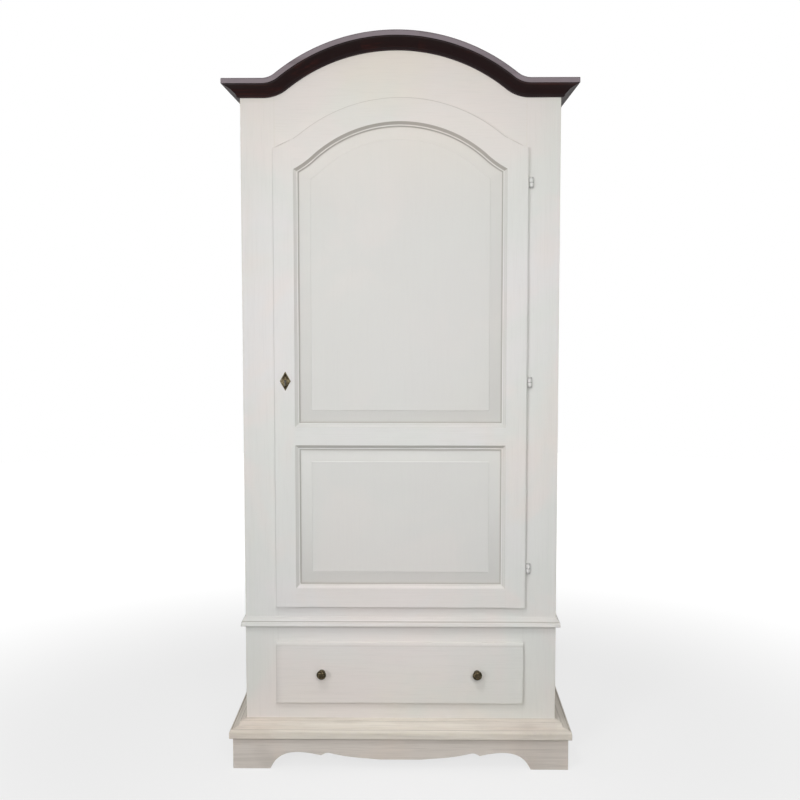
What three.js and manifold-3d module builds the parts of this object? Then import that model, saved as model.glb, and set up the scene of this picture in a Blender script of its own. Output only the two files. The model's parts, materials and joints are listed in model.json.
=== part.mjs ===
// A bonnetiere: a tall cupboard with one arched door, one drawer, a bent cornice and a scalloped plinth.
// Lengths are in millimetres. X runs to the right, Y to the back, Z up from the floor.
// The whole is centred on X and Y, and each group's own Y starts at the front of what it holds.
import * as THREE from "three";
import { mergeVertices } from "three/addons/utils/BufferGeometryUtils.js";
import Module from "manifold-3d";

const wasm = await Module();
wasm.setup();

// Overall sizes
const overallHeight = 2100;
const overallDepth = 600;
const bodyWidth = 900;

// Clearances
const fitGap = 0.3; // round tenons, tongues, pins and housed boards
const leafGap = 1.5; // between the opening and the part of the door or drawer front inside it
const leafCoverGap = 0.3; // between the overlapping front of the leaf and the frame's face
const drawerGap = 3; // at each side of the part of the drawer front inside its opening
const leafBackGap = 0.5; // between the back of the door and the lip that stops it
const cutOverrun = 5; // how far a cutting solid runs past the piece

// Cornice
const corniceProjection = 47;
const corniceHeight = 48;
const crownRise = 130; // from the cornice's flat ends to its crown
const crownRadius = 542.3;
const crownShift = -11; // the arch sits a little left of the centre line
const crownFilletRadius = 60;
const corniceSeamShares = [-0.29, 0.18]; // joints in the arch, of its half sweep
const corniceProfileShares = [
  [0, 1],
  [0.08, 1],
  [0.13, 0.97],
  [0.19, 0.93],
  [0.19, 0.875],
  [0.22, 0.85],
  [0.24, 0.8],
  [0.34, 0.71],
  [0.5, 0.56],
  [0.66, 0.46],
  [0.84, 0.37],
  [0.93, 0.34],
  [0.93, 0.3],
  [1, 0.3],
  [1, 0],
  [0, 0],
]; // outwards and down

// Front frame: two stiles and three rails, each with a lip behind the door and drawer
const frontThickness = 22;
const stileWidth = 95;
const bottomRailHeight = 75.9;
const drawerOpeningHeight = 170;
const waistRailHeight = 113.5;
const crownCover = 52.7; // from the top of the door opening to the cornice's flat ends
const stopLip = 6.5; // how far the lip reaches into the opening, behind the door and drawer
const frontTenonLength = 35;
const frontTenonThickness = 6;
const frontTenonSetback = 4;
const tenonShoulder = 6; // from a tenon to the edges of its rail

// Door and drawer front
const leafThickness = 24;
const leafProud = 11; // they stand this far in front of the frame
const leafOverlap = 5; // their front part covers this much of the frame round its opening

// Door
const doorCrownRadius = 450;
const doorShoulderRadius = 280;
const doorShoulderShare = 0.77; // where the crown turns hollow, of the door's half width
const doorStileWidth = 59;
const doorBottomRailWidth = 56.6;
const doorMidRailWidth = 52;
const lowerPanelHeight = 416;
const doorTopRailWidth = 66.1; // at the crown
const panelCrownRadius = 371;
const panelShoulderRadius = 250;
const panelShoulderShare = 0.825;
const doorTenonLength = 35;
const doorTenonThickness = 8;

// Moulded edge round each panel, and the panels
const stickingWidth = 14;
const stickingDepth = 7.5;
const stickingShares = [
  [0, 0.06],
  [0.12, 0.2],
  [0.3, 0.4],
  [0.48, 0.59],
  [0.62, 0.72],
  [0.84, 0.72],
  [0.88, 1],
  [1, 1],
]; // inwards and back: a slope, a fillet and the drop to the panel
const grooveSetback = 10.5; // from the face to the panel groove
const grooveThickness = 6.6;
const grooveDepth = 12;
const bevelWidth = 32.5;
const bevelRise = 5.5;
const fieldRaise = 2;

// Sides, back and boards
const sideThickness = 24;
const sideFrontStileWidth = 70;
const sideBackStileWidth = 80;
const sideBottomRailWidth = 84;
const sideWaistRailWidth = 110;
const sideWaistRailHeight = 495; // above the floor
const sideTopRailWidth = 110;
const housingDepth = 6;
const boardThickness = 18;
const roofAboveOpening = 18.5;
const shelfCount = 3;
const shelfSetback = 18; // behind the front frame
const backThickness = 12;
const backRebate = 12;
const backBoardCount = 3;
const backTongueWidth = 6;
const backTongueThickness = 4;

// Waist moulding
const waistProjection = 13;
const waistHeight = 27.7;
const waistAboveDrawer = 52.1; // from the drawer opening to the moulding
const waistProfileShares = [
  [0, 0],
  [0.9, 0],
  [1, 0.06],
  [1, 0.4],
  [0.92, 0.44],
  [0.68, 0.46],
  [0.68, 0.58],
  [0.5, 0.72],
  [0.26, 0.86],
  [0.2, 1],
  [0, 1],
]; // outwards and up

// Plinth
const apronHeight = 91;
const apronThickness = 22;
const apronProjection = 36;
const footWidth = 108;
const scallopRise = 49.5;
const scallopOuterShares = [
  [1, 0],
  [0.965, 0.45],
  [0.92, 0.75],
  [0.86, 0.94],
  [0.78, 1],
  [0.69, 0.93],
  [0.609, 0.805],
]; // from the foot to the point, of the half span and of the rise
const scallopInnerShares = [
  [0.609, 0.805],
  [0.561, 0.957],
  [0.5, 0.87],
  [0.42, 0.755],
  [0.33, 0.675],
  [0.24, 0.62],
  [0.15, 0.565],
]; // from the point to the flat middle
const plinthProjection = 46;
const plinthMouldingHeight = 49.6;
const plinthSeatWidth = 26; // the ledge under the body
const plinthSeatDepth = 24.6; // the ledge lies this far below the moulding's top
const plinthProfileShares = [
  [0.98, 0],
  [1, 0.03],
  [1, 0.34],
  [0.957, 0.45],
  [0.87, 0.515],
  [0.837, 0.494],
  [0.804, 0.534],
  [0.522, 0.605],
  [0.413, 0.726],
  [0.37, 0.867],
  [0.109, 0.945],
  [0.065, 1],
]; // outwards and up
const plinthRailHeight = 66;

// Hinges: each has a lower half with a pin, on the frame, and an upper half on the door
const hingeShares = { upper: 0.927, middle: 0.498, lower: 0.088 }; // of the door's straight edge
const hingeHeight = 31;
const hingeRadius = 6;
const hingeOutside = 8.5; // from the door's edge to the axis
const hingePinRadius = 3;
const hingePinReach = 12;
const hingeShankRadius = 2.5;
const hingeShankOffset = 8; // above and below the middle
const hingeFrameReach = 18;
const hingeDoorReach = 20;

// Lock
const keyholeHeight = 1127; // above the floor
const keyholeInset = 32; // from the door's edge
const keyholeRadius = 4;
const keyholeSlotWidth = 3.6;
const keyholeDrop = 12;
const escutcheonWidth = 31.5;
const escutcheonHeight = 56;
const escutcheonThickness = 1.8;
const escutcheonBevel = 1.4;
const escutcheonPinRadius = 1.7;
const escutcheonPinInset = 6.5;
const escutcheonPinProud = 0.8;
const lockCaseWidth = 55;
const lockCaseHeight = 84;
const lockCaseThickness = 19;
const lockCaseInset = 15.3; // from the door's edge
const boltHeight = 20;
const boltThickness = 6;
const boltLength = 34;
const boltRecess = 0.5; // the bolt's tip inside its case when it is drawn back
const boltTravel = 10;
const boltBehindFrame = 1; // between the bolt and the back of the frame

// Drawer
const drawerSideOverlap = 3.5; // how much of each stile its front would cover in the middle
const drawerFrontShift = -3; // the front and its knobs sit a little to the left
const drawerBevelHeight = 10.5; // along the top edge of its front
const drawerBevelDepth = 3.5;
const drawerBackGap = 58; // of air behind the drawer
const drawerSideThickness = 12;
const drawerSideGap = 2.5; // between the drawer's box and the lips
const drawerBottomGap = 1.6;
const drawerTopGap = 4;
const drawerHousing = 8;
const drawerBottomThickness = 6;
const drawerBottomRise = 9;
const drawerBottomGroove = 6;
const drawerBackInset = 18;
const drawerBackHousing = 4;
const drawerBackDrop = 6;
const runnerThickness = 18;
const runnerReach = 14; // under the drawer's side
const runnerGuideHeight = 25;

// Knobs
const knobSpacing = 451;
const knobRadius = 13.8;
const knobProjection = 28;
const knobScrewRadius = 2.5;
const knobScrewLength = 16;
const knobProfileShares = [
  [0.74, 0],
  [0.74, 0.07],
  [0.6, 0.12],
  [0.36, 0.19],
  [0.32, 0.38],
  [0.44, 0.52],
  [0.86, 0.62],
  [1, 0.72],
  [0.96, 0.84],
  [0.74, 0.94],
  [0.4, 0.99],
]; // outwards from the axis and along it

// Steps of the round shapes
const crownSteps = 8;
const shoulderSteps = 3;
const corniceArcSteps = 6;
const corniceFilletSteps = 4;
const scallopSteps = 10;
const pinSides = 14;
const knuckleSides = 18;
const knobSides = 16;

// Heights that follow from the sizes above
const bodyHalf = bodyWidth / 2;
const bodyDepth = overallDepth - corniceProjection;
const bodyTop = overallHeight - crownRise;
const bodyBottom = apronHeight + plinthMouldingHeight - plinthSeatDepth;
const openingHalf = bodyHalf - stileWidth;
const lipHalf = openingHalf - stopLip;
const lipSetback = leafThickness - leafProud + leafBackGap;
const drawerOpeningBottom = bodyBottom + bottomRailHeight;
const drawerOpeningTop = drawerOpeningBottom + drawerOpeningHeight;
const doorOpeningBottom = drawerOpeningTop + waistRailHeight;
const doorOpeningCrown = bodyTop - crownCover;
const coverThickness = leafProud - leafCoverGap;
const leafInset = leafOverlap + leafGap;
const doorHalf = openingHalf + leafOverlap;
const doorBottom = doorOpeningBottom - leafOverlap;
const doorCrown = doorOpeningCrown + leafOverlap;
const sideInner = bodyHalf - sideThickness;
const backFront = bodyDepth - backThickness;
const floorTop = doorOpeningBottom + stopLip;
const roofBottom = doorOpeningCrown + roofAboveOpening;
const roofTop = roofBottom + boardThickness;
const boardHalf = sideInner + housingDepth - fitGap;

const materials = {
  paint: new THREE.MeshStandardMaterial({ color: 0xdad3ca, roughness: 0.75, metalness: 0 }),
  plinthPaint: new THREE.MeshStandardMaterial({ color: 0xbcb2a6, roughness: 0.8, metalness: 0 }),
  walnut: new THREE.MeshStandardMaterial({ color: 0x2c1815, roughness: 0.45, metalness: 0 }),
  bareWood: new THREE.MeshStandardMaterial({ color: 0xb08d62, roughness: 0.8, metalness: 0 }),
  brass: new THREE.MeshStandardMaterial({ color: 0x4a4330, roughness: 0.4, metalness: 0.9 }),
  paintedSteel: new THREE.MeshStandardMaterial({ color: 0xd2cdc6, roughness: 0.6, metalness: 0.2 }),
  steel: new THREE.MeshStandardMaterial({ color: 0x6f6c68, roughness: 0.5, metalness: 0.9 }),
};

// Evenly spaced values, both ends included
function steps(from, to, count) {
  return Array.from({ length: count + 1 }, (_, i) => from + ((to - from) * i) / count);
}

function solidOf(geometry) {
  const bare = new THREE.BufferGeometry();
  bare.setAttribute("position", geometry.getAttribute("position"));
  bare.setIndex(geometry.getIndex());
  const merged = mergeVertices(bare, 1e-4);
  const vertProperties = merged.getAttribute("position").array;
  const triVerts = new Uint32Array(merged.getIndex().array);
  return new wasm.Manifold(new wasm.Mesh({ numProp: 3, vertProperties, triVerts }));
}

function geometryOf(solid) {
  const { vertProperties, triVerts } = solid.getMesh();
  const geometry = new THREE.BufferGeometry();
  geometry.setAttribute("position", new THREE.BufferAttribute(vertProperties, 3));
  geometry.setIndex(new THREE.BufferAttribute(triVerts, 1));
  geometry.computeVertexNormals();
  return geometry;
}

function joined(first, ...others) {
  return others.reduce((whole, other) => whole.add(other), first);
}

function cutBy(solid, ...cutters) {
  return cutters.reduce((rest, cutter) => rest.subtract(cutter), solid);
}

function block(left, right, front, back, bottom, top) {
  const geometry = new THREE.BoxGeometry(right - left, back - front, top - bottom);
  return solidOf(geometry.translate((left + right) / 2, (front + back) / 2, (bottom + top) / 2));
}

// A board sawn to an outline in X and Z
function plate(outline, front, back) {
  const shape = new THREE.Shape(outline.map(([x, z]) => new THREE.Vector2(x, z)));
  const geometry = new THREE.ExtrudeGeometry(shape, { depth: back - front, bevelEnabled: false });
  return solidOf(geometry.rotateX(Math.PI / 2).translate(0, back, 0));
}

function rod(radius, from, to, sides) {
  const along = new THREE.Vector3().subVectors(to, from);
  const geometry = new THREE.CylinderGeometry(radius, radius, along.length(), sides);
  const turn = new THREE.Quaternion().setFromUnitVectors(
    new THREE.Vector3(0, 1, 0),
    along.clone().normalize(),
  );
  const middle = new THREE.Vector3().addVectors(from, to).multiplyScalar(0.5);
  return solidOf(geometry.applyQuaternion(turn).translate(middle.x, middle.y, middle.z));
}

// A solid through rings of equally many points. Each ring runs anticlockwise, seen from the last one.
function loft(rings, firstCap, lastCap) {
  const count = rings[0].length;
  const positions = rings.flat().flatMap((point) => [point.x, point.y, point.z]);
  const index = [];
  for (let ring = 0; ring + 1 < rings.length; ring++)
    for (let i = 0; i < count; i++) {
      const a = ring * count + i;
      const b = ring * count + ((i + 1) % count);
      index.push(a, b, b + count, a, b + count, a + count);
    }
  const last = (rings.length - 1) * count;
  for (const [a, b, c] of THREE.ShapeUtils.triangulateShape(firstCap, [])) index.push(c, b, a);
  for (const [a, b, c] of THREE.ShapeUtils.triangulateShape(lastCap, []))
    index.push(last + a, last + b, last + c);
  const geometry = new THREE.BufferGeometry();
  geometry.setAttribute("position", new THREE.Float32BufferAttribute(positions, 3));
  return solidOf(geometry.setIndex(index));
}

// A solid whose outline changes with depth, given from the back to the front
function layered(outline, levels) {
  const rings = levels.map(({ inset, depth }) =>
    outline(inset).map(([x, z]) => new THREE.Vector3(x, depth, z)),
  );
  const caps = [rings[0], rings.at(-1)].map((ring) => ring.map((p) => new THREE.Vector2(p.x, p.z)));
  return loft(rings, caps[0], caps[1]);
}

// A moulding: its section goes from station to station, anticlockwise in outwards and up
function swept(section, stations) {
  const rings = stations.map((station) => section.map(([out, up]) => station(out, up)));
  const cap = section.map(([out, up]) => new THREE.Vector2(out, up));
  return loft(rings, cap, cap);
}

function scaled(shares, across, up) {
  return shares.map(([x, y]) => [x * across, y * up]);
}

// Outlines are functions of their inset, and run anticlockwise seen from the front.
function rectangle(left, right, bottom, top) {
  return (inset) => [
    [left + inset, bottom + inset],
    [right - inset, bottom + inset],
    [right - inset, top - inset],
    [left + inset, top - inset],
  ];
}

// A rectangle under a round crown that turns into hollow shoulders
function arched({ half, bottom, crown, round, hollow, turnShare }) {
  const turn = Math.asin((turnShare * half) / round);
  const reach = round + hollow;
  const shoulder = { x: reach * Math.sin(turn), z: crown - round + reach * Math.cos(turn) };
  return (inset) => {
    const radius = hollow + inset;
    const corner = Math.asin((shoulder.x - half + inset) / radius);
    const right = steps(corner, turn, shoulderSteps)
      .slice(0, -1)
      .map((a) => [shoulder.x - radius * Math.sin(a), shoulder.z - radius * Math.cos(a)]);
    for (const a of steps(turn, 0, crownSteps))
      right.push([(round - inset) * Math.sin(a), crown - round + (round - inset) * Math.cos(a)]);
    const left = right.slice(0, -1).reverse();
    return [
      [inset - half, bottom + inset],
      [half - inset, bottom + inset],
      ...right,
      ...left.map(([x, z]) => [-x, z]),
    ];
  };
}

const doorOutline = arched({
  half: doorHalf,
  bottom: doorBottom,
  crown: doorCrown,
  round: doorCrownRadius,
  hollow: doorShoulderRadius,
  turnShare: doorShoulderShare,
});

// The top line of the cornice: an arch, two fillets and two flat ends
const crownCentre = overallHeight - crownRadius;
const filletHeight = bodyTop + crownFilletRadius;
const filletAcross = Math.sqrt(
  (crownRadius + crownFilletRadius) ** 2 - (filletHeight - crownCentre) ** 2,
);
const crownSweep = Math.atan2(filletAcross, filletHeight - crownCentre);

function crownPoint(angle, drop) {
  const radius = crownRadius - drop;
  return [crownShift + radius * Math.sin(angle), crownCentre + radius * Math.cos(angle)];
}

function filletPoint(side, angle, drop) {
  const radius = crownFilletRadius + drop;
  const across = filletAcross - radius * Math.sin(angle);
  return [crownShift + side * across, filletHeight - radius * Math.cos(angle)];
}

function topLine() {
  const fillet = steps(0, crownSweep, corniceFilletSteps);
  const arch = steps(-crownSweep, crownSweep, crownSteps * 2).slice(1, -1);
  return [
    [-bodyHalf, bodyTop],
    ...fillet.map((a) => filletPoint(-1, a, 0)),
    ...arch.map((a) => crownPoint(a, 0)),
    ...fillet.reverse().map((a) => filletPoint(1, a, 0)),
    [bodyHalf, bodyTop],
  ];
}

// The front frame is cut from one outline, which runs up to the cornice's top line.
const frontBlank = plate(
  [[-bodyHalf, bodyBottom], [bodyHalf, bodyBottom], ...topLine().reverse()],
  0,
  frontThickness,
);

// Everything of the front frame between two upright lines, with the lip at the back
function frontField(half, front, back) {
  return block(-half, half, front, back, bodyBottom - cutOverrun, overallHeight + cutOverrun);
}

function doorOpening() {
  return plate(doorOutline(leafOverlap), -cutOverrun, lipSetback).add(
    plate(doorOutline(leafOverlap + stopLip), -cutOverrun, frontThickness + cutOverrun),
  );
}

function drawerOpening() {
  const outline = rectangle(-openingHalf, openingHalf, drawerOpeningBottom, drawerOpeningTop);
  return plate(outline(0), -cutOverrun, lipSetback).add(
    plate(outline(stopLip), -cutOverrun, frontThickness + cutOverrun),
  );
}

const railField = frontField(openingHalf, -cutOverrun, lipSetback).add(
  frontField(lipHalf, -cutOverrun, frontThickness + cutOverrun),
);

// Where each rail's tenons lie, as heights
const frontTenons = {
  bottom: [bodyBottom + tenonShoulder, drawerOpeningBottom - tenonShoulder],
  waist: [drawerOpeningTop + tenonShoulder, doorOpeningBottom - tenonShoulder],
  frieze: [doorOutline(leafOverlap)[2][1] + stopLip, bodyTop - tenonShoulder],
};

function frontTenon([low, high], grow) {
  const inner = openingHalf - tenonShoulder / 2;
  const reach = openingHalf + frontTenonLength + grow;
  const front = frontTenonSetback - grow;
  const back = frontTenonSetback + frontTenonThickness + grow;
  const right = block(inner, reach, front, back, low - grow, high + grow);
  return right.add(block(-reach, -inner, front, back, low - grow, high + grow));
}

function frontRail(low, high, tenon) {
  const field = railField.intersect(
    block(-openingHalf, openingHalf, 0, frontThickness, low, high),
  );
  const rail = field.intersect(frontBlank).subtract(doorOpening()).subtract(drawerOpening());
  return rail.add(frontTenon(tenon, 0));
}

function frontStile(side) {
  const half = block(
    side > 0 ? 0 : -bodyHalf,
    side > 0 ? bodyHalf : 0,
    0,
    frontThickness,
    bodyBottom,
    overallHeight,
  );
  const mortises = Object.values(frontTenons).map((heights) => frontTenon(heights, fitGap));
  return cutBy(frontBlank.intersect(half), railField, ...mortises);
}

// Hinges stand beside the door on one upright axis, just clear of the frame's face.
const hingeAxis = { x: doorHalf + hingeOutside, y: -hingeRadius - fitGap };
const doorCorner = doorOutline(0)[2][1];

function hingeMiddle(share) {
  return doorBottom + (doorCorner - doorBottom) * share;
}

function hingePoint(height, along = { x: 0, y: 0 }) {
  return new THREE.Vector3(hingeAxis.x + along.x, hingeAxis.y + along.y, height);
}

function hingeFrameShank(share, grow) {
  const height = hingeMiddle(share) - hingeShankOffset;
  const reach = hingeFrameReach - hingeAxis.y + grow;
  const end = hingePoint(height, { x: 0, y: reach });
  return rod(hingeShankRadius + grow, hingePoint(height), end, pinSides);
}

function hingeDoorShank(share, grow) {
  const height = hingeMiddle(share) + hingeShankOffset;
  const reach = hingeOutside + hingeDoorReach + grow;
  const end = hingePoint(height, { x: -reach, y: 0 });
  return rod(hingeShankRadius + grow, hingePoint(height), end, pinSides);
}

function hingePin(share, grow) {
  const middle = hingeMiddle(share);
  const low = hingePoint(middle - hingeShankOffset);
  return rod(hingePinRadius + grow, low, hingePoint(middle + hingePinReach + grow), pinSides);
}

function hingeKnuckle(low, high) {
  return rod(hingeRadius, hingePoint(low), hingePoint(high), knuckleSides);
}

function hingeFrameHalf(share) {
  const middle = hingeMiddle(share);
  const knuckle = hingeKnuckle(middle - hingeHeight / 2, middle - fitGap / 2);
  return joined(knuckle, hingePin(share, 0), hingeFrameShank(share, 0));
}

function hingeDoorHalf(share) {
  const middle = hingeMiddle(share);
  const knuckle = hingeKnuckle(middle + fitGap / 2, middle + hingeHeight / 2);
  return knuckle.add(hingeDoorShank(share, 0)).subtract(hingePin(share, fitGap));
}

// A framed opening: the moulded edge, the clear way through and the groove that holds the panel
function openingCutters(outline, thickness) {
  const edge = stickingShares.map(([inset, depth]) => ({
    inset: inset * stickingWidth,
    depth: depth * stickingDepth,
  }));
  const through = { inset: stickingWidth, depth: thickness + cutOverrun };
  const levels = [through, ...edge.reverse(), { inset: 0, depth: -cutOverrun }];
  const groove = plate(
    outline(stickingWidth - grooveDepth),
    grooveSetback,
    grooveSetback + grooveThickness,
  );
  return [layered(outline, levels), groove];
}

function raisedPanel(outline) {
  const tongue = stickingWidth - grooveDepth + fitGap;
  const face = grooveSetback + fitGap;
  const bevelStart = stickingWidth + fitGap;
  const bevelEnd = bevelStart + bevelWidth;
  return layered(outline, [
    { inset: tongue, depth: grooveSetback + grooveThickness - fitGap },
    { inset: tongue, depth: face },
    { inset: bevelStart, depth: face },
    { inset: bevelEnd, depth: face - bevelRise },
    { inset: bevelEnd + fieldRaise / 2, depth: face - bevelRise - fieldRaise },
  ]);
}

// Door: a frame of two stiles and three rails round two panels, all cut from one leaf
const panelHalf = doorHalf - doorStileWidth;
const lowerPanelBottom = doorBottom + doorBottomRailWidth;
const lowerPanelTop = lowerPanelBottom + lowerPanelHeight;
const upperPanelBottom = lowerPanelTop + doorMidRailWidth;
const lowerPanelOutline = rectangle(-panelHalf, panelHalf, lowerPanelBottom, lowerPanelTop);
const upperPanelOutline = arched({
  half: panelHalf,
  bottom: upperPanelBottom,
  crown: doorCrown - doorTopRailWidth,
  round: panelCrownRadius,
  hollow: panelShoulderRadius,
  turnShare: panelShoulderShare,
});
const doorLeaf = cutBy(
  plate(doorOutline(0), 0, coverThickness).add(plate(doorOutline(leafInset), 0, leafThickness)),
  ...openingCutters(lowerPanelOutline, leafThickness),
  ...openingCutters(upperPanelOutline, leafThickness),
);

// The line where stiles and rails meet turns through the moulded edges at each corner.
const edgeHalf = panelHalf - stickingWidth;
const upperCorner = upperPanelOutline(0)[2][1];
const upperEdgeCorner = upperPanelOutline(stickingWidth)[2][1];

function doorRegion(outline) {
  return plate(outline, -cutOverrun, leafThickness + cutOverrun);
}

function doorStileRegion(side) {
  const outline = [
    [panelHalf, doorBottom - cutOverrun],
    [doorHalf + cutOverrun, doorBottom - cutOverrun],
    [doorHalf + cutOverrun, doorCrown + cutOverrun],
    [panelHalf, doorCrown + cutOverrun],
    [panelHalf, upperCorner],
    [edgeHalf, upperEdgeCorner],
    [edgeHalf, upperPanelBottom + stickingWidth],
    [panelHalf, upperPanelBottom],
    [panelHalf, lowerPanelTop],
    [edgeHalf, lowerPanelTop - stickingWidth],
    [edgeHalf, lowerPanelBottom + stickingWidth],
    [panelHalf, lowerPanelBottom],
  ];
  return doorRegion(side > 0 ? outline : outline.map(([x, z]) => [-x, z]).reverse());
}

// A rail's region: its plain shoulders, and the mitred ends of its moulded edges
function doorRailRegion(low, lowEdge, high, highEdge) {
  const mitre = edgeHalf - fitGap;
  return doorRegion([
    [-panelHalf, low],
    [-mitre, lowEdge],
    [mitre, lowEdge],
    [panelHalf, low],
    [panelHalf, high],
    [mitre, highEdge],
    [-mitre, highEdge],
    [-panelHalf, high],
  ]);
}

const doorTenons = {
  bottom: [doorBottom + leafInset + tenonShoulder, lowerPanelBottom - tenonShoulder],
  mid: [lowerPanelTop + tenonShoulder, upperPanelBottom - tenonShoulder],
  top: [upperCorner + tenonShoulder, doorCorner - leafInset - tenonShoulder],
};

function doorTenon([low, high], grow) {
  const front = (leafThickness - doorTenonThickness) / 2;
  const back = front + doorTenonThickness;
  const inner = panelHalf - tenonShoulder / 2;
  const outer = panelHalf + doorTenonLength + grow;
  const right = block(inner, outer, front - grow, back + grow, low - grow, high + grow);
  return right.add(block(-outer, -inner, front - grow, back + grow, low - grow, high + grow));
}

function doorRail(region, tenon) {
  return doorLeaf.intersect(region).add(doorTenon(tenon, 0));
}

function doorTopRail() {
  const high = doorCrown + cutOverrun;
  return doorRail(doorRailRegion(upperCorner, upperEdgeCorner, high, high), doorTenons.top);
}

function doorMidRail() {
  const region = doorRailRegion(
    lowerPanelTop,
    lowerPanelTop - stickingWidth,
    upperPanelBottom,
    upperPanelBottom + stickingWidth,
  );
  return doorRail(region, doorTenons.mid);
}

function doorBottomRail() {
  const low = doorBottom - cutOverrun;
  const edge = lowerPanelBottom + stickingWidth;
  return doorRail(doorRailRegion(low, low, lowerPanelBottom, edge), doorTenons.bottom);
}

function doorStile(side) {
  const mortises = Object.values(doorTenons).map((heights) => doorTenon(heights, fitGap));
  return cutBy(doorLeaf.intersect(doorStileRegion(side)), ...mortises);
}

function doorHingeStile() {
  const bores = Object.values(hingeShares).map((share) =>
    hingeDoorShank(share, fitGap).translate([0, leafProud, 0]),
  );
  return cutBy(doorStile(1), ...bores);
}

// Lock: a case on the back of the door with a sliding bolt, and a keyhole through to it
const keyholeX = keyholeInset - doorHalf;
const boltFront = frontThickness + leafProud + boltBehindFrame;
const lockCaseLeft = lockCaseInset - doorHalf;

function keyhole(back) {
  const centre = { x: keyholeX, z: keyholeHeight };
  const round = rod(
    keyholeRadius,
    new THREE.Vector3(centre.x, -cutOverrun, centre.z),
    new THREE.Vector3(centre.x, back, centre.z),
    pinSides,
  );
  const slotHalf = keyholeSlotWidth / 2;
  const low = centre.z - keyholeDrop;
  return round.add(
    block(centre.x - slotHalf, centre.x + slotHalf, -cutOverrun, back, low, centre.z),
  );
}

function lockCase() {
  const low = keyholeHeight - lockCaseHeight / 2;
  const back = leafThickness + lockCaseThickness;
  const body = block(
    lockCaseLeft,
    lockCaseLeft + lockCaseWidth,
    leafThickness,
    back,
    low,
    low + lockCaseHeight,
  );
  const channel = block(
    lockCaseLeft - cutOverrun,
    lockCaseLeft + boltRecess + boltLength + boltTravel,
    boltFront - fitGap,
    boltFront + boltThickness + fitGap,
    keyholeHeight - boltHeight / 2 - fitGap,
    keyholeHeight + boltHeight / 2 + fitGap,
  );
  return cutBy(body, channel, keyhole(boltFront));
}

function lockBolt() {
  const tip = lockCaseLeft + boltRecess;
  const low = keyholeHeight - boltHeight / 2;
  return block(tip, tip + boltLength, boltFront, boltFront + boltThickness, low, low + boltHeight);
}

function escutcheon() {
  const diamond = (inset) => {
    const across = escutcheonWidth / 2 - inset;
    const up = escutcheonHeight / 2 - (inset * escutcheonHeight) / escutcheonWidth;
    return [
      [keyholeX, keyholeHeight - up],
      [keyholeX + across, keyholeHeight],
      [keyholeX, keyholeHeight + up],
      [keyholeX - across, keyholeHeight],
    ];
  };
  const leaf = layered(diamond, [
    { inset: 0, depth: 0 },
    { inset: 0, depth: -escutcheonThickness / 2 },
    { inset: escutcheonBevel, depth: -escutcheonThickness },
  ]);
  const pins = [-1, 1].map((side) => {
    const height = keyholeHeight + side * (escutcheonHeight / 2 - escutcheonPinInset);
    const front = -escutcheonThickness - escutcheonPinProud;
    return rod(
      escutcheonPinRadius,
      new THREE.Vector3(keyholeX, front, height),
      new THREE.Vector3(keyholeX, -escutcheonThickness / 2, height),
      pinSides,
    );
  });
  return joined(leaf, ...pins).subtract(keyhole(cutOverrun));
}

// Sides: each is a frame round two panels, drawn facing forwards and then turned to its side
const sideFront = frontThickness;
const sideLowerOutline = rectangle(
  sideFront + sideFrontStileWidth,
  bodyDepth - sideBackStileWidth,
  bodyBottom + sideBottomRailWidth,
  sideWaistRailHeight - sideWaistRailWidth,
);
const sideUpperOutline = rectangle(
  sideFront + sideFrontStileWidth,
  bodyDepth - sideBackStileWidth,
  sideWaistRailHeight,
  bodyTop - sideTopRailWidth,
);

// The boards that lie in the sides' housings, by their undersides
const bayHeight = (roofBottom - floorTop - shelfCount * boardThickness) / (shelfCount + 1);
const shelfBottoms = steps(0, shelfCount - 1, shelfCount - 1).map(
  (i) => floorTop + bayHeight + i * (bayHeight + boardThickness),
);

function board(front, bottom) {
  return block(
    -boardHalf,
    boardHalf,
    front,
    backFront - fitGap,
    bottom,
    bottom + boardThickness,
  );
}

function housing(front, bottom) {
  return block(
    front - fitGap,
    backFront + fitGap,
    sideThickness - housingDepth,
    sideThickness + cutOverrun,
    bottom - fitGap,
    bottom + boardThickness + fitGap,
  );
}

function sideFrame() {
  const blank = block(sideFront, bodyDepth, 0, sideThickness, bodyBottom, bodyTop);
  const rebate = block(
    backFront,
    bodyDepth + cutOverrun,
    backRebate,
    sideThickness + cutOverrun,
    bodyBottom - cutOverrun,
    bodyTop + cutOverrun,
  );
  const housings = [
    housing(sideFront, floorTop - boardThickness),
    housing(sideFront, roofBottom),
    ...shelfBottoms.map((bottom) => housing(sideFront + shelfSetback, bottom)),
  ];
  return cutBy(
    blank,
    rebate,
    ...housings,
    ...openingCutters(sideLowerOutline, sideThickness),
    ...openingCutters(sideUpperOutline, sideThickness),
  );
}

// Back: upright boards with tongues and grooves between the sides' rebates
function backBoard(number) {
  const half = bodyHalf - backRebate - fitGap;
  const width = (2 * half) / backBoardCount;
  const left = number * width - half;
  const right = left + width;
  const isFirst = number === 0;
  const isLast = number === backBoardCount - 1;
  const bottom = bodyBottom + fitGap;
  const middle = backFront + backThickness / 2;
  const tongue = (from, to, grow) =>
    block(
      from,
      to,
      middle - backTongueThickness / 2 - grow,
      middle + backTongueThickness / 2 + grow,
      bottom - cutOverrun * Math.sign(grow),
      roofTop + cutOverrun * Math.sign(grow),
    );
  const start = isFirst ? left : left + fitGap;
  const plain = block(start, right, backFront, bodyDepth, bottom, roofTop);
  const grooved = isFirst
    ? plain
    : plain.subtract(tongue(left - cutOverrun, left + backTongueWidth + fitGap, fitGap));
  return isLast ? grooved : grooved.add(tongue(right - backTongueWidth, right + backTongueWidth, 0));
}

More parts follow.
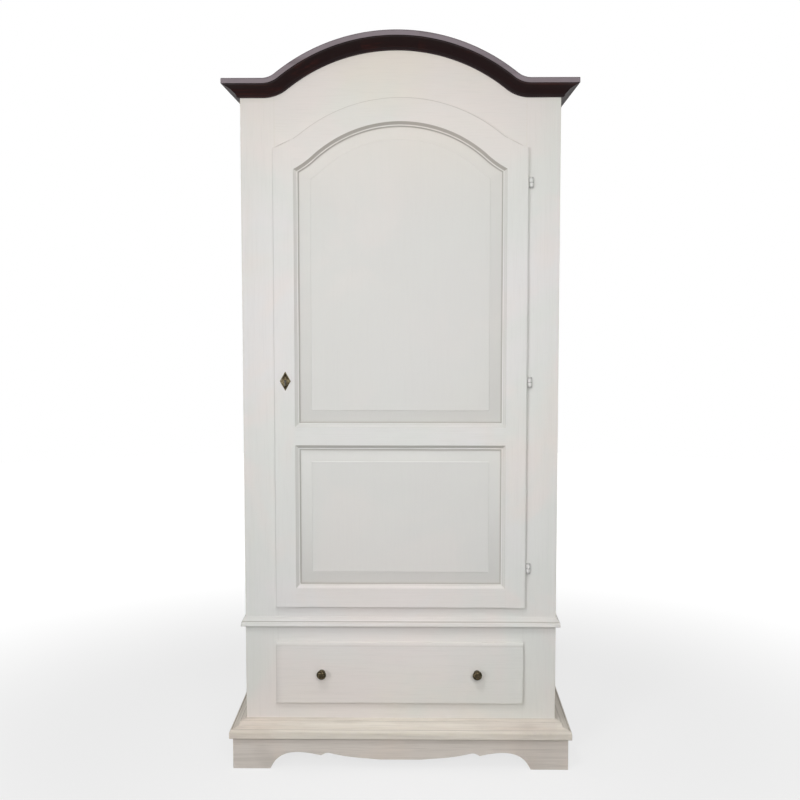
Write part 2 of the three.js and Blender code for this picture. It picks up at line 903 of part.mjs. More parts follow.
// Mouldings run round the front and both sides, and meet in mitres at the front corners.
function frontMoulding(section, height) {
  return swept(
    section,
    [1, -1].map((side) => (out, up) =>
      new THREE.Vector3(side * (bodyHalf + out), -out, height + up),
    ),
  );
}

function sideMoulding(section, height) {
  return swept(section, [
    (out, up) => new THREE.Vector3(bodyHalf + out, bodyDepth, height + up),
    (out, up) => new THREE.Vector3(bodyHalf + out, -out, height + up),
  ]);
}

const waistBottom = drawerOpeningTop + waistAboveDrawer;
const waistSection = scaled(waistProfileShares, waistProjection, waistHeight);
const seatHeight = plinthMouldingHeight - plinthSeatDepth;
const plinthSection = [
  [-plinthSeatWidth, 0],
  ...scaled(plinthProfileShares, plinthProjection, plinthMouldingHeight),
  [fitGap, plinthMouldingHeight],
  [fitGap, seatHeight],
  [-plinthSeatWidth, seatHeight],
];

// Cornice: its section hangs square from the top line
const corniceSection = scaled(corniceProfileShares, corniceProjection, -corniceHeight);

function corniceStation(point) {
  return (out, up) => {
    const [x, z] = point(-up);
    return new THREE.Vector3(x, -out, z);
  };
}

function corniceEnd(side) {
  const corner = (out, up) => new THREE.Vector3(side * (bodyHalf + out), -out, bodyTop + up);
  const fillet = steps(0, crownSweep, corniceFilletSteps);
  return [corner, ...fillet.map((a) => corniceStation((drop) => filletPoint(side, a, drop)))];
}

function corniceArc(from, to, count) {
  return steps(from * crownSweep, to * crownSweep, count).map((a) =>
    corniceStation((drop) => crownPoint(a, drop)),
  );
}

function cornicePieces() {
  const [leftSeam, rightSeam] = corniceSeamShares;
  const leftArc = corniceArc(leftSeam, -1, corniceArcSteps).slice(0, -1);
  const rightArc = corniceArc(1, rightSeam, corniceArcSteps).slice(1);
  return {
    cornice_front_left: swept(corniceSection, [...leftArc, ...corniceEnd(-1).reverse()]),
    cornice_front_centre: swept(
      corniceSection,
      corniceArc(rightSeam, leftSeam, corniceArcSteps),
    ),
    cornice_front_right: swept(corniceSection, [...corniceEnd(1), ...rightArc]),
  };
}

// Plinth: aprons with a scalloped lower edge between their feet, under the moulding
function scallop(centre, half) {
  const point = ([x, z]) => new THREE.Vector2(x * half, z * scallopRise);
  const outer = new THREE.SplineCurve(scallopOuterShares.map(point)).getPoints(scallopSteps);
  const inner = new THREE.SplineCurve(scallopInnerShares.map(point)).getPoints(scallopSteps);
  const right = [...outer, ...inner.slice(1)];
  return [
    ...right.map((p) => [centre - p.x, p.y]),
    ...right.reverse().map((p) => [centre + p.x, p.y]),
  ];
}

function apronOutline(from, to, centre, half) {
  return [[from, 0], ...scallop(centre, half), [to, 0], [to, apronHeight], [from, apronHeight]];
}

function apronSolid(rings) {
  const cap = rings[0].map((p) => new THREE.Vector2(p.x, p.z));
  return loft(rings, cap, cap);
}

function frontApron() {
  const half = bodyHalf + apronProjection - footWidth;
  const rings = [apronProjection - apronThickness, apronProjection].map((out) =>
    apronOutline(-bodyHalf - out, bodyHalf + out, 0, half).map(
      ([x, z]) => new THREE.Vector3(x, -out, z),
    ),
  );
  return apronSolid(rings);
}

// Drawn facing forwards: X stands for the depth, Y for the distance inwards from the body's side
function sideApron() {
  const start = footWidth - apronProjection;
  const end = bodyDepth - footWidth;
  const rings = [apronProjection - apronThickness, apronProjection].map((out) =>
    apronOutline(-out, bodyDepth, (start + end) / 2, (end - start) / 2).map(
      ([y, z]) => new THREE.Vector3(y, -out, z),
    ),
  );
  return apronSolid(rings);
}

function plinthBackRail() {
  const wide = bodyHalf + apronProjection - apronThickness - fitGap;
  const narrow = bodyHalf - plinthSeatWidth - fitGap;
  const step = apronHeight - fitGap;
  const low = bodyBottom - plinthRailHeight;
  const outline = [
    [-wide, low],
    [wide, low],
    [wide, step],
    [narrow, step],
    [narrow, bodyBottom],
    [-narrow, bodyBottom],
    [-narrow, step],
    [-wide, step],
  ];
  return plate(outline, bodyDepth - apronThickness, bodyDepth);
}

// Drawer: its front overlaps the frame, and its box runs on two runners behind the frame
const drawerHalf = openingHalf - drawerGap;
const drawerFrontHalf = openingHalf + drawerSideOverlap;
const drawerFrontBottom = drawerOpeningBottom - leafOverlap;
const drawerFrontTop = drawerOpeningTop + leafOverlap;
const drawerBoxHalf = lipHalf - drawerSideGap;
const drawerInner = drawerBoxHalf - drawerSideThickness;
const drawerBoxBottom = drawerOpeningBottom + stopLip + drawerBottomGap;
const drawerBoxTop = drawerOpeningTop - stopLip - drawerTopGap;
const drawerEnd = backFront + leafProud - drawerBackGap;
const drawerPanelBottom = drawerBoxBottom + drawerBottomRise;
const drawerPanelTop = drawerPanelBottom + drawerBottomThickness;
const drawerBackFront = drawerEnd - drawerBackInset - drawerSideThickness;
const knobHeight = (drawerFrontBottom + drawerFrontTop) / 2;

function drawerSide(grow) {
  return block(
    drawerInner - grow,
    drawerBoxHalf + grow,
    leafThickness - drawerHousing - grow,
    drawerEnd,
    drawerBoxBottom - grow,
    drawerBoxTop + grow,
  );
}

function drawerBottom(grow) {
  const half = drawerInner + drawerBottomGroove - fitGap + grow;
  return block(
    -half,
    half,
    leafThickness - drawerBottomGroove + fitGap - grow,
    drawerEnd + cutOverrun * Math.sign(grow),
    drawerPanelBottom - grow,
    drawerPanelTop + grow,
  );
}

function drawerBack(grow) {
  const half = drawerInner + drawerBackHousing - fitGap + grow;
  return block(
    -half,
    half,
    drawerBackFront - grow,
    drawerBackFront + drawerSideThickness + grow,
    drawerPanelTop + fitGap - grow,
    drawerBoxTop - drawerBackDrop + grow,
  );
}

// The front's section, outwards and up, is carried from its right end to its left.
function drawerFront() {
  const section = [
    [-coverThickness, drawerFrontBottom],
    [0, drawerFrontBottom],
    [0, drawerFrontTop - drawerBevelHeight],
    [-drawerBevelDepth, drawerFrontTop],
    [-coverThickness, drawerFrontTop],
  ];
  const ends = [drawerFrontShift + drawerFrontHalf, drawerFrontShift - drawerFrontHalf];
  const cover = swept(
    section,
    ends.map((x) => (out, up) => new THREE.Vector3(x, -out, up)),
  );
  const low = drawerOpeningBottom + leafGap;
  const high = drawerOpeningTop - leafGap;
  const core = block(-drawerHalf, drawerHalf, drawerBevelDepth, leafThickness, low, high);
  const side = drawerSide(fitGap);
  const screws = [-1, 1].map((end) => {
    const x = drawerFrontShift + (end * knobSpacing) / 2;
    return rod(
      knobScrewRadius + fitGap,
      new THREE.Vector3(x, -cutOverrun, knobHeight),
      new THREE.Vector3(x, knobScrewLength + fitGap, knobHeight),
      pinSides,
    );
  });
  return cutBy(cover.add(core), side, side.scale([-1, 1, 1]), drawerBottom(fitGap), ...screws);
}

// A knob turned about Y, with its screw behind it
function knob() {
  const profile = [
    [0, knobScrewLength],
    [knobScrewRadius, knobScrewLength],
    [knobScrewRadius, 0],
    ...scaled(knobProfileShares, knobRadius, -knobProjection),
    [0, -knobProjection],
  ];
  const points = profile.map(([radius, y]) => new THREE.Vector2(radius, y)).reverse();
  return solidOf(new THREE.LatheGeometry(points, knobSides));
}

// An L-shaped bearer fixed inside the body's side
function drawerRunner() {
  const top = drawerBoxBottom - fitGap;
  const wall = sideInner - fitGap;
  const guide = lipHalf;
  const outline = [
    [drawerBoxHalf - runnerReach, top - runnerThickness],
    [wall, top - runnerThickness],
    [wall, top + runnerGuideHeight],
    [guide, top + runnerGuideHeight],
    [guide, top],
    [drawerBoxHalf - runnerReach, top],
  ];
  return plate(outline, frontThickness + fitGap, backFront - fitGap);
}

// The scene: the body with the door and the drawer in groups of their own
function place(group, name, solid, material) {
  const mesh = new THREE.Mesh(geometryOf(solid), material);
  mesh.name = name;
  group.add(mesh);
  return mesh;
}

// A right-hand piece and its mirror image
function placePair(group, name, solid, material) {
  place(group, `${name}_right`, solid, material);
  place(group, `${name}_left`, solid, material).scale.x = -1;
}

function buildFront(group) {
  const rails = {
    bottom_rail: [bodyBottom, drawerOpeningBottom + stopLip, frontTenons.bottom],
    waist_rail: [drawerOpeningTop - stopLip, floorTop, frontTenons.waist],
    frieze_rail: [doorCorner - leafOverlap - stopLip, overallHeight, frontTenons.frieze],
  };
  for (const [name, [low, high, tenon]] of Object.entries(rails))
    place(group, name, frontRail(low, high, tenon), materials.paint);
  const bores = Object.values(hingeShares).map((share) => hingeFrameShank(share, fitGap));
  place(group, "front_stile_left", frontStile(-1), materials.paint);
  place(group, "front_stile_right", cutBy(frontStile(1), ...bores), materials.paint);
  for (const [name, share] of Object.entries(hingeShares))
    place(group, `hinge_frame_half_${name}`, hingeFrameHalf(share), materials.paintedSteel);
}

// The side pieces are drawn facing forwards, so a quarter turn brings them to the body's right.
function turnedToSide(solid) {
  return solid.rotate([0, 0, 90]).translate([bodyHalf, 0, 0]);
}

function buildSides(group) {
  placePair(group, "side_frame", turnedToSide(sideFrame()), materials.paint);
  const panels = { side_upper_panel: sideUpperOutline, side_lower_panel: sideLowerOutline };
  for (const [name, outline] of Object.entries(panels))
    placePair(group, name, turnedToSide(raisedPanel(outline)), materials.paint);
}

function buildBoards(group) {
  place(group, "cupboard_floor", board(sideFront + fitGap, floorTop - boardThickness), materials.bareWood);
  place(group, "roof_board", board(sideFront + fitGap, roofBottom), materials.bareWood);
  shelfBottoms.forEach((bottom, i) =>
    place(group, `shelf_${i + 1}`, board(sideFront + shelfSetback, bottom), materials.bareWood),
  );
  for (let i = 0; i < backBoardCount; i++)
    place(group, `back_board_${i + 1}`, backBoard(i), materials.bareWood);
  placePair(group, "drawer_runner", drawerRunner(), materials.bareWood);
}

function buildMouldings(group) {
  place(group, "waist_moulding_front", frontMoulding(waistSection, waistBottom), materials.paint);
  placePair(group, "waist_moulding", sideMoulding(waistSection, waistBottom), materials.paint);
  for (const [name, solid] of Object.entries(cornicePieces()))
    place(group, name, solid, materials.walnut);
  placePair(group, "cornice_return", sideMoulding(corniceSection, bodyTop), materials.walnut);
}

function buildPlinth(group) {
  const front = frontMoulding(plinthSection, apronHeight);
  place(group, "plinth_moulding_front", front, materials.plinthPaint);
  placePair(group, "plinth_moulding", sideMoulding(plinthSection, apronHeight), materials.plinthPaint);
  place(group, "apron_front", frontApron(), materials.plinthPaint);
  placePair(group, "apron", turnedToSide(sideApron()), materials.plinthPaint);
  place(group, "plinth_back_rail", plinthBackRail(), materials.bareWood);
}

function buildDoor(group) {
  const key = keyhole(boltFront);
  place(group, "door_stile_lock", doorStile(-1).subtract(key), materials.paint);
  place(group, "door_stile_hinge", doorHingeStile(), materials.paint);
  place(group, "door_top_rail", doorTopRail(), materials.paint);
  place(group, "door_mid_rail", doorMidRail(), materials.paint);
  place(group, "door_bottom_rail", doorBottomRail(), materials.paint);
  place(group, "door_upper_panel", raisedPanel(upperPanelOutline), materials.paint);
  place(group, "door_lower_panel", raisedPanel(lowerPanelOutline), materials.paint);
  for (const [name, share] of Object.entries(hingeShares)) {
    const half = hingeDoorHalf(share).translate([0, leafProud, 0]);
    place(group, `hinge_door_half_${name}`, half, materials.paintedSteel);
  }
  place(group, "escutcheon", escutcheon(), materials.brass);
  place(group, "lock_case", lockCase(), materials.steel);
  place(group, "lock_bolt", lockBolt(), materials.steel);
}

function buildDrawer(group) {
  place(group, "drawer_front", drawerFront(), materials.paint);
  const side = cutBy(drawerSide(0), drawerBottom(fitGap), drawerBack(fitGap));
  placePair(group, "drawer_side", side, materials.bareWood);
  place(group, "drawer_back", drawerBack(0), materials.bareWood);
  place(group, "drawer_bottom", drawerBottom(0), materials.bareWood);
  for (const [name, end] of Object.entries({ left: -1, right: 1 }))
    place(group, `drawer_knob_${name}`, knob(), materials.brass).position.set(
      drawerFrontShift + (end * knobSpacing) / 2,
      0,
      knobHeight,
    );
}

const bonnetiere = new THREE.Group();
const body = new THREE.Group();
const door = new THREE.Group();
const drawer = new THREE.Group();
body.position.y = corniceProjection - overallDepth / 2;
door.position.y = -leafProud;
drawer.position.y = -leafProud;
body.add(door, drawer);
bonnetiere.add(body);
buildFront(body);
buildSides(body);
buildBoards(body);
buildMouldings(body);
buildPlinth(body);
buildDoor(door);
buildDrawer(drawer);

export default bonnetiere;
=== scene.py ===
"""The looks of a bonnetiere: its limewash paint, waxed cornice and old brass. All lengths are in metres."""

import json
import math

import bmesh
import bpy
from bpy.props import FloatProperty, FloatVectorProperty, IntProperty, PointerProperty
from mathutils import Matrix, Vector
from mathutils.geometry import interpolate_bezier

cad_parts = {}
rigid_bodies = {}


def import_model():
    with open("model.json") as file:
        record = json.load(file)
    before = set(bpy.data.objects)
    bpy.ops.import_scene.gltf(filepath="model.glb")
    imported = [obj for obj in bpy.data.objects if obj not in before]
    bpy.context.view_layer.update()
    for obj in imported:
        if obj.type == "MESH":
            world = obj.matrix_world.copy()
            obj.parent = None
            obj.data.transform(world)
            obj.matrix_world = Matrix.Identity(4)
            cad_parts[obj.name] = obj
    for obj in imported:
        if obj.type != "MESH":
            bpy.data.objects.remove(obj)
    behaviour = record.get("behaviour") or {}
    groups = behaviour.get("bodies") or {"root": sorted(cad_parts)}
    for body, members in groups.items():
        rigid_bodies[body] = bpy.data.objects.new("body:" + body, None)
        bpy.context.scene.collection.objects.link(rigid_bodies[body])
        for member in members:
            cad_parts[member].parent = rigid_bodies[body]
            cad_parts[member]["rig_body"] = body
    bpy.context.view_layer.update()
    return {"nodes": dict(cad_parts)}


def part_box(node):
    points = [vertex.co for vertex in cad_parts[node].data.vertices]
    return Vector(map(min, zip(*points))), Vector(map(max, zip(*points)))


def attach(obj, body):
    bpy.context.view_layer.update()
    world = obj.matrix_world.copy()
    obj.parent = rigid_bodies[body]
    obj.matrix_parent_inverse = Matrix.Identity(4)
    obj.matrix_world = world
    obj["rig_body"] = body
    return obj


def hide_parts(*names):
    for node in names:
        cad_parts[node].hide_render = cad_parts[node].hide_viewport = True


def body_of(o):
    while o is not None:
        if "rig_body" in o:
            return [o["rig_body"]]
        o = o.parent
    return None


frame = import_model()

bl_info = {
    "name": "Bonnetiere looks",
    "version": (1, 0, 0),
    "blender": (4, 5, 0),
    "location": "3D View > Sidebar > Bonnetiere",
    "description": "Paint, wax, brass and fine mouldings for a one-door bonnetiere",
    "category": "Object",
}

WEAR = "wear"  # 1 on a rubbed arris, and on the cornice a painted sheen; below 0 darker, with glaze and painted shade in grooves and painted shade on slopes and edges that face away from the lamps
BOARD = "board"  # a number of its own for each piece, which moves its grain
SHARP = math.radians(32)  # an edge that turns by more is an arris
FLAT = math.radians(0.5)  # faces that differ by less are one face
LEVEL = 0.99999  # cosine between the normals of faces in one plane
WELD = 1e-5  # points of the frame's shapes that are nearer are one point
MERGE = 1e-6  # and points of the shapes made here


# Sizes and colours that a user would change


def length(name, description, default):
    return FloatProperty(
        name=name, description=description, default=default, min=0, unit="LENGTH", precision=4
    )


def share(name, description, default):
    return FloatProperty(name=name, description=description, default=default, subtype="FACTOR")


def linear(*levels):
    """A screen colour, 0 to 255, as the linear values that materials hold"""
    return [((v / 255 + 0.055) / 1.055) ** 2.4 if v > 10 else v / 255 / 12.92 for v in levels]


def colour(name, description, *levels):
    return FloatVectorProperty(
        name=name,
        description=description,
        default=linear(*levels),
        min=0,
        max=1,
        size=3,
        subtype="COLOR",
    )


class FinishSettings(bpy.types.PropertyGroup):
    """Colours of the paint, wood and metal"""

    cream: colour("Cream", "Most of the limewash", 222, 220, 219)
    cream_field: colour("Field cream", "Limewash of the panels", 213, 212, 209)
    # Towards the top this warm cream is painted warm light; towards the floor it only warms the limewash
    cream_warm: colour("Warm cream", "Limewash near the top and the floor", 230, 221, 210)
    cream_cool: colour("Cool cream", "Greenish grey patches of the limewash", 215, 218, 213)
    cream_pink: colour("Pink cream", "Pinkish patches of the limewash", 226, 218, 214)
    cream_yellow: colour("Yellow cream", "Yellowish rubs in the limewash", 219, 212, 192)
    # The glaze colour also paints shade: in grooves, on slopes and along edges that face away from the
    # lamps
    glaze: colour("Glaze", "Brown-grey glaze that stays in grooves", 138, 130, 118)
    plinth: colour("Plinth", "Limewash of the plinth's moulding", 225, 218, 207)
    plinth_pink: colour("Plinth pink", "Rubbed places of the plinth", 224, 208, 195)
    plinth_grey: colour("Plinth grey", "Brown-grey streaks of the plinth", 176, 167, 158)
    apron: colour("Apron", "Limewash of the aprons", 215, 207, 199)
    walnut: colour("Walnut", "Dark stain of the cornice", 26, 11, 12)
    walnut_red: colour("Red walnut", "Where the stain lies thinner", 62, 26, 20)
    # painted reflection of the room on the cornice's nose
    walnut_bloom: colour("Bloom", "Dull bloom on the cornice's nose", 138, 128, 133)
    fir: colour("Fir", "Bare wood inside", 196, 164, 120)
    fir_late: colour("Late wood", "Darker lines in the bare wood", 158, 116, 72)
    brass: colour("Old brass", "Dark brass of the knobs", 46, 40, 30)
    brass_bright: colour("Rubbed brass", "Brass where hands rub it", 128, 116, 90)
    steel: colour("Steel", "Lock case and bolt", 118, 116, 112)


class DoorSettings(bpy.types.PropertyGroup):
    """Sizes of the door's arches, mouldings and panels"""

    crown_radius: length("Crown radius", "Of the door's round top", 0.45)
    shoulder_radius: length("Shoulder radius", "Of the door's hollow shoulders", 0.28)
    turn_share: share("Turn", "Where crown turns into shoulder, of the half width", 0.77)
    panel_crown_radius: length("Panel crown radius", "Of the upper panel's round top", 0.371)
    panel_shoulder_radius: length("Panel shoulder radius", "Of its hollow shoulders", 0.25)
    panel_turn_share: share("Panel turn", "Where crown turns into shoulder", 0.825)
    overlap: length("Overlap", "How far the door covers the frame round its opening", 0.005)
    gap: length("Gap", "Between the opening and the part of the door inside it", 0.0015)
    lip: length("Lip", "How far the frame reaches in behind the door", 0.0065)
    lip_depth: length("Lip depth", "From the frame's face to the lip", 0.0135)
    moulding_width: length("Moulding width", "Of the moulded edge round each panel", 0.014)
    moulding_depth: length("Moulding depth", "Of the moulded edge round each panel", 0.0075)
    groove_front: length("Groove", "From the door's face to the panel groove", 0.0105)
    groove_width: length("Groove width", "From front to back", 0.0066)
    groove_depth: length("Groove depth", "From the moulded edge outwards", 0.012)
    fit: length("Fit", "Clearance of the panels' tongues", 0.0003)
    bevel_width: length("Bevel width", "Round each raised panel", 0.0325)
    bevel_rise: length("Bevel rise", "Round each raised panel", 0.0055)
    field_raise: length("Field raise", "Small step round the panel's field", 0.0013)


class CorniceSettings(bpy.types.PropertyGroup):
    """Sizes of the bent cornice"""

    crown_radius: length("Crown radius", "Of the top line's arch", 0.5423)
    crown_shift: FloatProperty(
        name="Crown shift",
        description="The arch sits a little to the left",
        default=-0.011,
        unit="LENGTH",
    )
    fillet_radius: length("Fillet radius", "Where the arch runs out to the flat ends", 0.06)
    left_seam: share("Left joint", "Of the arch's half sweep", -0.29)
    right_seam: share("Right joint", "Of the arch's half sweep", 0.18)


class PlinthSettings(bpy.types.PropertyGroup):
    """Sizes of the plinth"""

    foot_width: length("Foot width", "Of each foot along the apron", 0.108)
    scallop_rise: length("Scallop rise", "Of the apron's lower edge", 0.0495)
    apron_thickness: length("Apron thickness", "Of each apron", 0.022)
    seat_width: length("Seat width", "Of the ledge under the body", 0.026)
    seat_depth: length("Seat depth", "From the moulding's top to the ledge", 0.0246)


class FittingSettings(bpy.types.PropertyGroup):
    """Sizes of knobs, hinges and keyhole"""

    knuckle_radius: length("Knuckle radius", "Of the hinges' barrels", 0.006)
    pin_radius: length("Pin radius", "Of the hinges' pins", 0.003)
    pin_reach: length("Pin reach", "Above the middle of the hinge", 0.012)
    shank_radius: length("Shank radius", "Of the screws that hold the hinges", 0.0025)
    shank_offset: length("Shank offset", "Above and below the hinge's middle", 0.008)
    screw_radius: length("Screw radius", "Of the knobs' screws", 0.0025)
    screw_length: length("Screw length", "Of the knobs' screws", 0.016)
    keyhole_height: length("Keyhole height", "Above the floor", 1.127)
    keyhole_inset: length("Keyhole inset", "From the door's edge", 0.032)
    keyhole_radius: length("Keyhole radius", "Of its round part", 0.004)
    keyhole_slot: length("Keyhole slot", "Width of its slot", 0.0036)
    keyhole_drop: length("Keyhole drop", "From the round part to the slot's end", 0.012)


class EdgeSettings(bpy.types.PropertyGroup):
    """Sizes of arrises and of the bands that wear lies in"""

    arris: length("Arris", "Rounding of planed edges", 0.0007)
    fine_arris: length("Fine arris", "Rounding of the escutcheon's edges", 0.0004)
    drawer_fade: length("Drawer fade", "Width of the glaze along the drawer front's left end", 0.022)
    door_arris: length("Door arris", "Rounding of the door's outer edge", 0.0013)
    band: length("Band", "How far wear reaches from an edge", 0.003)
    arris_steps: IntProperty(name="Steps", description="Steps of each arris", default=2, min=1)
    arc_steps: IntProperty(name="Arc steps", description="Steps of a long arc", default=40, min=8)


class StageSettings(bpy.types.PropertyGroup):
    """Light, floor and camera"""

    floor_radius: length("Floor radius", "Of the round floor", 7.0)
    floor_grey: share("Floor", "How much light the floor throws back", 0.15)
    floor_glow: share("Floor whiteness", "Lift of the floor as the camera sees it", 0.75)
    sky: share("Sky", "Strength of the even light all round", 0.33)
    lens: FloatProperty(name="Lens", description="In millimetres, on a 36 mm sensor", default=55.77)


SETTINGS = {
    "bonnetiere_finish": FinishSettings,
    "bonnetiere_door": DoorSettings,
    "bonnetiere_cornice": CorniceSettings,
    "bonnetiere_plinth": PlinthSettings,
    "bonnetiere_fittings": FittingSettings,
    "bonnetiere_edges": EdgeSettings,
    "bonnetiere_stage": StageSettings,
}


def settings(name):
    return getattr(bpy.context.scene, "bonnetiere_" + name)


# Materials


GRAIN_SHIFT = (1.37, 2.11, 0.73)  # how far a pattern moves from one piece to the next
DRAWN_OUT = 0.035  # how much a pattern that runs along the wood is squeezed on its way
ALONG = {
    "upright": (1.0, 1.0, DRAWN_OUT),
    "across": (DRAWN_OUT, 1.0, 1.0),
    "deep": (1.0, DRAWN_OUT, 1.0),
}
PATTERNS = {  # scale, detail, roughness and distortion
    "brush": (95.0, 4.0, 0.62),
    "bristles": (310.0, 2.0),
    "chips": (60.0, 4.0, 0.7),
    "walnut figure": (70.0, 5.0, 0.6, 0.8),
    "walnut pores": (420.0, 2.0),
    "walnut patches": (7.0, 3.0),
    "walnut bloom": (40.0, 3.0),
    "fir rings": (9.0, 2.0, 0.45, 0.4),
    "fir fibre": (260.0, 3.0, 0.6),
    "brass tarnish": (180.0, 4.0, 0.6),
    "brass dents": (420.0, 3.0),
    "hinge chips": (240.0, 4.0, 0.65),
    "hinge patches": (60.0,),
    "hinge brush": (160.0, 3.0),
    "steel lines": (900.0, 2.0),
    "steel stain": (70.0, 4.0),
}
CLOUD = (3.0, 0.55, 0.6)  # detail, roughness and distortion of the limewash's patches

WARM_UP_TO = (1.5, 2.05)  # heights between which the limewash is painted warmer and lighter towards the top, a painted warm light
WARM_DOWN_TO = (0.5, 0.12)  # and towards the floor
RUB_SHOWS = 0.4  # how much a rubbed arris yellows
GLAZE_AND_SHADE_SHOWS = 0.6  # how much glaze and painted shade darken a groove, a slope or an edge
RING_TURN = 60.0  # radians of the fir's ring wave, from its pattern's 0 to 1

# painted shade in the cornice's quirks and under its nose
WALNUT_HOLLOW_SHADE = linear(14, 7, 8)
# painted shade in the bare wood's inner corners
FIR_CORNER_SHADE = linear(96, 68, 42)
BRASS_GROOVE = linear(18, 15, 11)
# painted shade in the seam between a hinge barrel's halves
HINGE_SEAM_SHADE = linear(70, 62, 54)
STEEL_STAIN = linear(74, 70, 66)
STEEL_RUBBED = linear(168, 166, 160)


class Value:
    """An output of a finish's nodes. Sums and products on it add Math nodes."""

    def __init__(self, finish, socket):
        self.finish = finish
        self.socket = socket

    def maths(self, operation, first, second):
        return self.finish.node("ShaderNodeMath", {"operation": operation}, {0: first, 1: second})

    def __add__(self, other):
        return self.maths("ADD", self, other)

    def __radd__(self, other):
        return self.maths("ADD", other, self)

    def __rsub__(self, other):
        return self.maths("SUBTRACT", other, self)

    def __mul__(self, other):
        return self.maths("MULTIPLY", self, other)

    def at_least(self, other):
        return self.maths("MAXIMUM", self, other)


class Finish:
    """A material, or the world, and the nodes that make it"""

    def __init__(self, owner):
        owner.use_nodes = True
        self.owner = owner
        self.tree = owner.node_tree
        self.tree.nodes.clear()

    def node(self, kind, setup=None, sockets=None, output=0):
        """Adds a node, sets it up, then sets or links its sockets"""
        node = self.tree.nodes.new(kind)
        for name, value in (setup or {}).items():
            setattr(node, name, value)
        for key, value in (sockets or {}).items():
            socket = node.inputs[key]
            if isinstance(value, Value):
                self.tree.links.new(value.socket, socket)
            elif socket.type == "RGBA":
                socket.default_value = (*value[:3], 1)
            else:
                socket.default_value = value
        return Value(self, node.outputs[output]) if node.outputs else node

    def pattern(self, vector, name):
        return self.noise(vector, *PATTERNS[name])

    def noise(self, vector, scale, detail=2.0, roughness=0.5, distortion=0.0):
        sockets = {
            "Vector": vector,
            "Scale": scale,
            "Detail": detail,
            "Roughness": roughness,
            "Distortion": distortion,
        }
        return self.node("ShaderNodeTexNoise", None, sockets)

    def between(self, value, low, high):
        """0 below low, 1 above high, and smooth between them"""
        setup = {"interpolation_type": "SMOOTHSTEP"}
        sockets = {"Value": value, "From Min": low, "From Max": high}
        return self.node("ShaderNodeMapRange", setup, sockets)

    def mixed(self, factor, first, second):
        sockets = {0: factor, 6: first, 7: second}
        return self.node("ShaderNodeMix", {"data_type": "RGBA"}, sockets, 2)

    def place(self):
        """Object coordinates, moved apart from piece to piece"""
        place = self.node("ShaderNodeTexCoord", None, None, "Object")
        board = self.node("ShaderNodeAttribute", {"attribute_name": BOARD}, None, "Fac")
        far = {axis: board * step for axis, step in enumerate(GRAIN_SHIFT)}
        shift = self.node("ShaderNodeCombineXYZ", None, far)
        return self.node("ShaderNodeVectorMath", {"operation": "ADD"}, {0: place, 1: shift})

    def stretched(self, vector, scale):
        return self.node("ShaderNodeMapping", None, {"Vector": vector, "Scale": scale})

    def wear(self):
        """How rubbed a place is, and how darkened by glaze and painted shade"""
        wear = self.node("ShaderNodeAttribute", {"attribute_name": WEAR}, None, "Fac")
        return self.between(wear, 0.0, 1.0), self.between(0 - wear, 0.0, 1.0)

    def bump(self, height, distance):
        return self.node("ShaderNodeBump", None, {"Height": height, "Distance": distance})

    def surface(self, **sockets):
        named = {key.replace("_", " "): value for key, value in sockets.items()}
        shader = self.node("ShaderNodeBsdfPrincipled", None, named)
        self.node("ShaderNodeOutputMaterial", None, {"Surface": shader})
        return self.owner


def material(name, slot):
    made = bpy.data.materials.new(name)
    made["slot"] = slot
    return Finish(made)


def limewash(name, slot, grain, base, warmth, patches, worn, strength):
    """
    Thin brushed paint: soft patches, brush lines along the wood, glaze and painted shade in grooves,
    painted shade on slopes and edges that face away from the lamps, rubbed arrises, and a painted warm
    light towards the top.
    Each patch is a colour, a scale, the noise where it starts and is full, and how much it shows.
    """
    finish = material(name, slot)
    tones = settings("finish")
    place = finish.place()
    still = finish.node("ShaderNodeTexCoord", None, None, "Object")
    height = finish.node("ShaderNodeSeparateXYZ", None, {0: still}, "Z")
    starts, ends = WARM_DOWN_TO
    # painted warm light towards the top, and warmer limewash towards the floor
    warm_by_height = finish.between(height, *WARM_UP_TO) + finish.between(0 - height, -starts, -ends)
    paint = finish.mixed(warm_by_height * warmth, base, tones.cream_warm)
    for number, (patch, scale, low, high, most) in enumerate(patches):
        sockets = {"Vector": still, "Location": (number, 3 * number, 7)}
        apart = finish.node("ShaderNodeMapping", None, sockets)
        cloud = finish.between(finish.noise(apart, scale, *CLOUD), low, high)
        paint = finish.mixed(cloud * most, paint, patch)
    along = finish.stretched(place, ALONG[grain])
    brush = finish.pattern(along, "brush")
    lines = finish.pattern(along, "bristles")
    streak = finish.between(brush, 0.38, 0.72)
    paint = finish.mixed(streak * strength, paint, worn)
    paint = finish.mixed(finish.between(lines, 0.45, 0.8) * (strength * 0.6), paint, tones.glaze)
    rubbed, darkened = finish.wear()
    chips = finish.between(finish.pattern(place, "chips"), 0.35, 0.65)
    paint = finish.mixed(rubbed * chips * RUB_SHOWS, paint, tones.cream_yellow)
    # glaze, and painted shade in grooves, on slopes and along edges that face away from the lamps
    paint = finish.mixed(darkened * GLAZE_AND_SHADE_SHOWS, paint, tones.glaze)
    return finish.surface(
        Base_Color=paint,
        Roughness=0.52 + brush * 0.2 + rubbed * 0.1,
        Specular_IOR_Level=0.35,
        Normal=finish.bump(brush + lines * 0.5, distance=0.00012),
    )


def cream(name, grain, base, strength, patchy=1.0):
    """Limewash of the body and the door: strength is that of its brush lines"""
    tones = settings("finish")
    patches = [
        (tones.cream_cool, 2.3, 0.42, 0.62, 0.6 * patchy),
        (tones.cream_pink, 3.1, 0.45, 0.66, 0.7 * patchy),
        (tones.cream_yellow, 1.9, 0.58, 0.78, 0.2 * patchy),
    ]
    paint = getattr(tones, base)
    return limewash(name, "cream_paint", grain, paint, 0.8, patches, tones.cream_cool, strength)


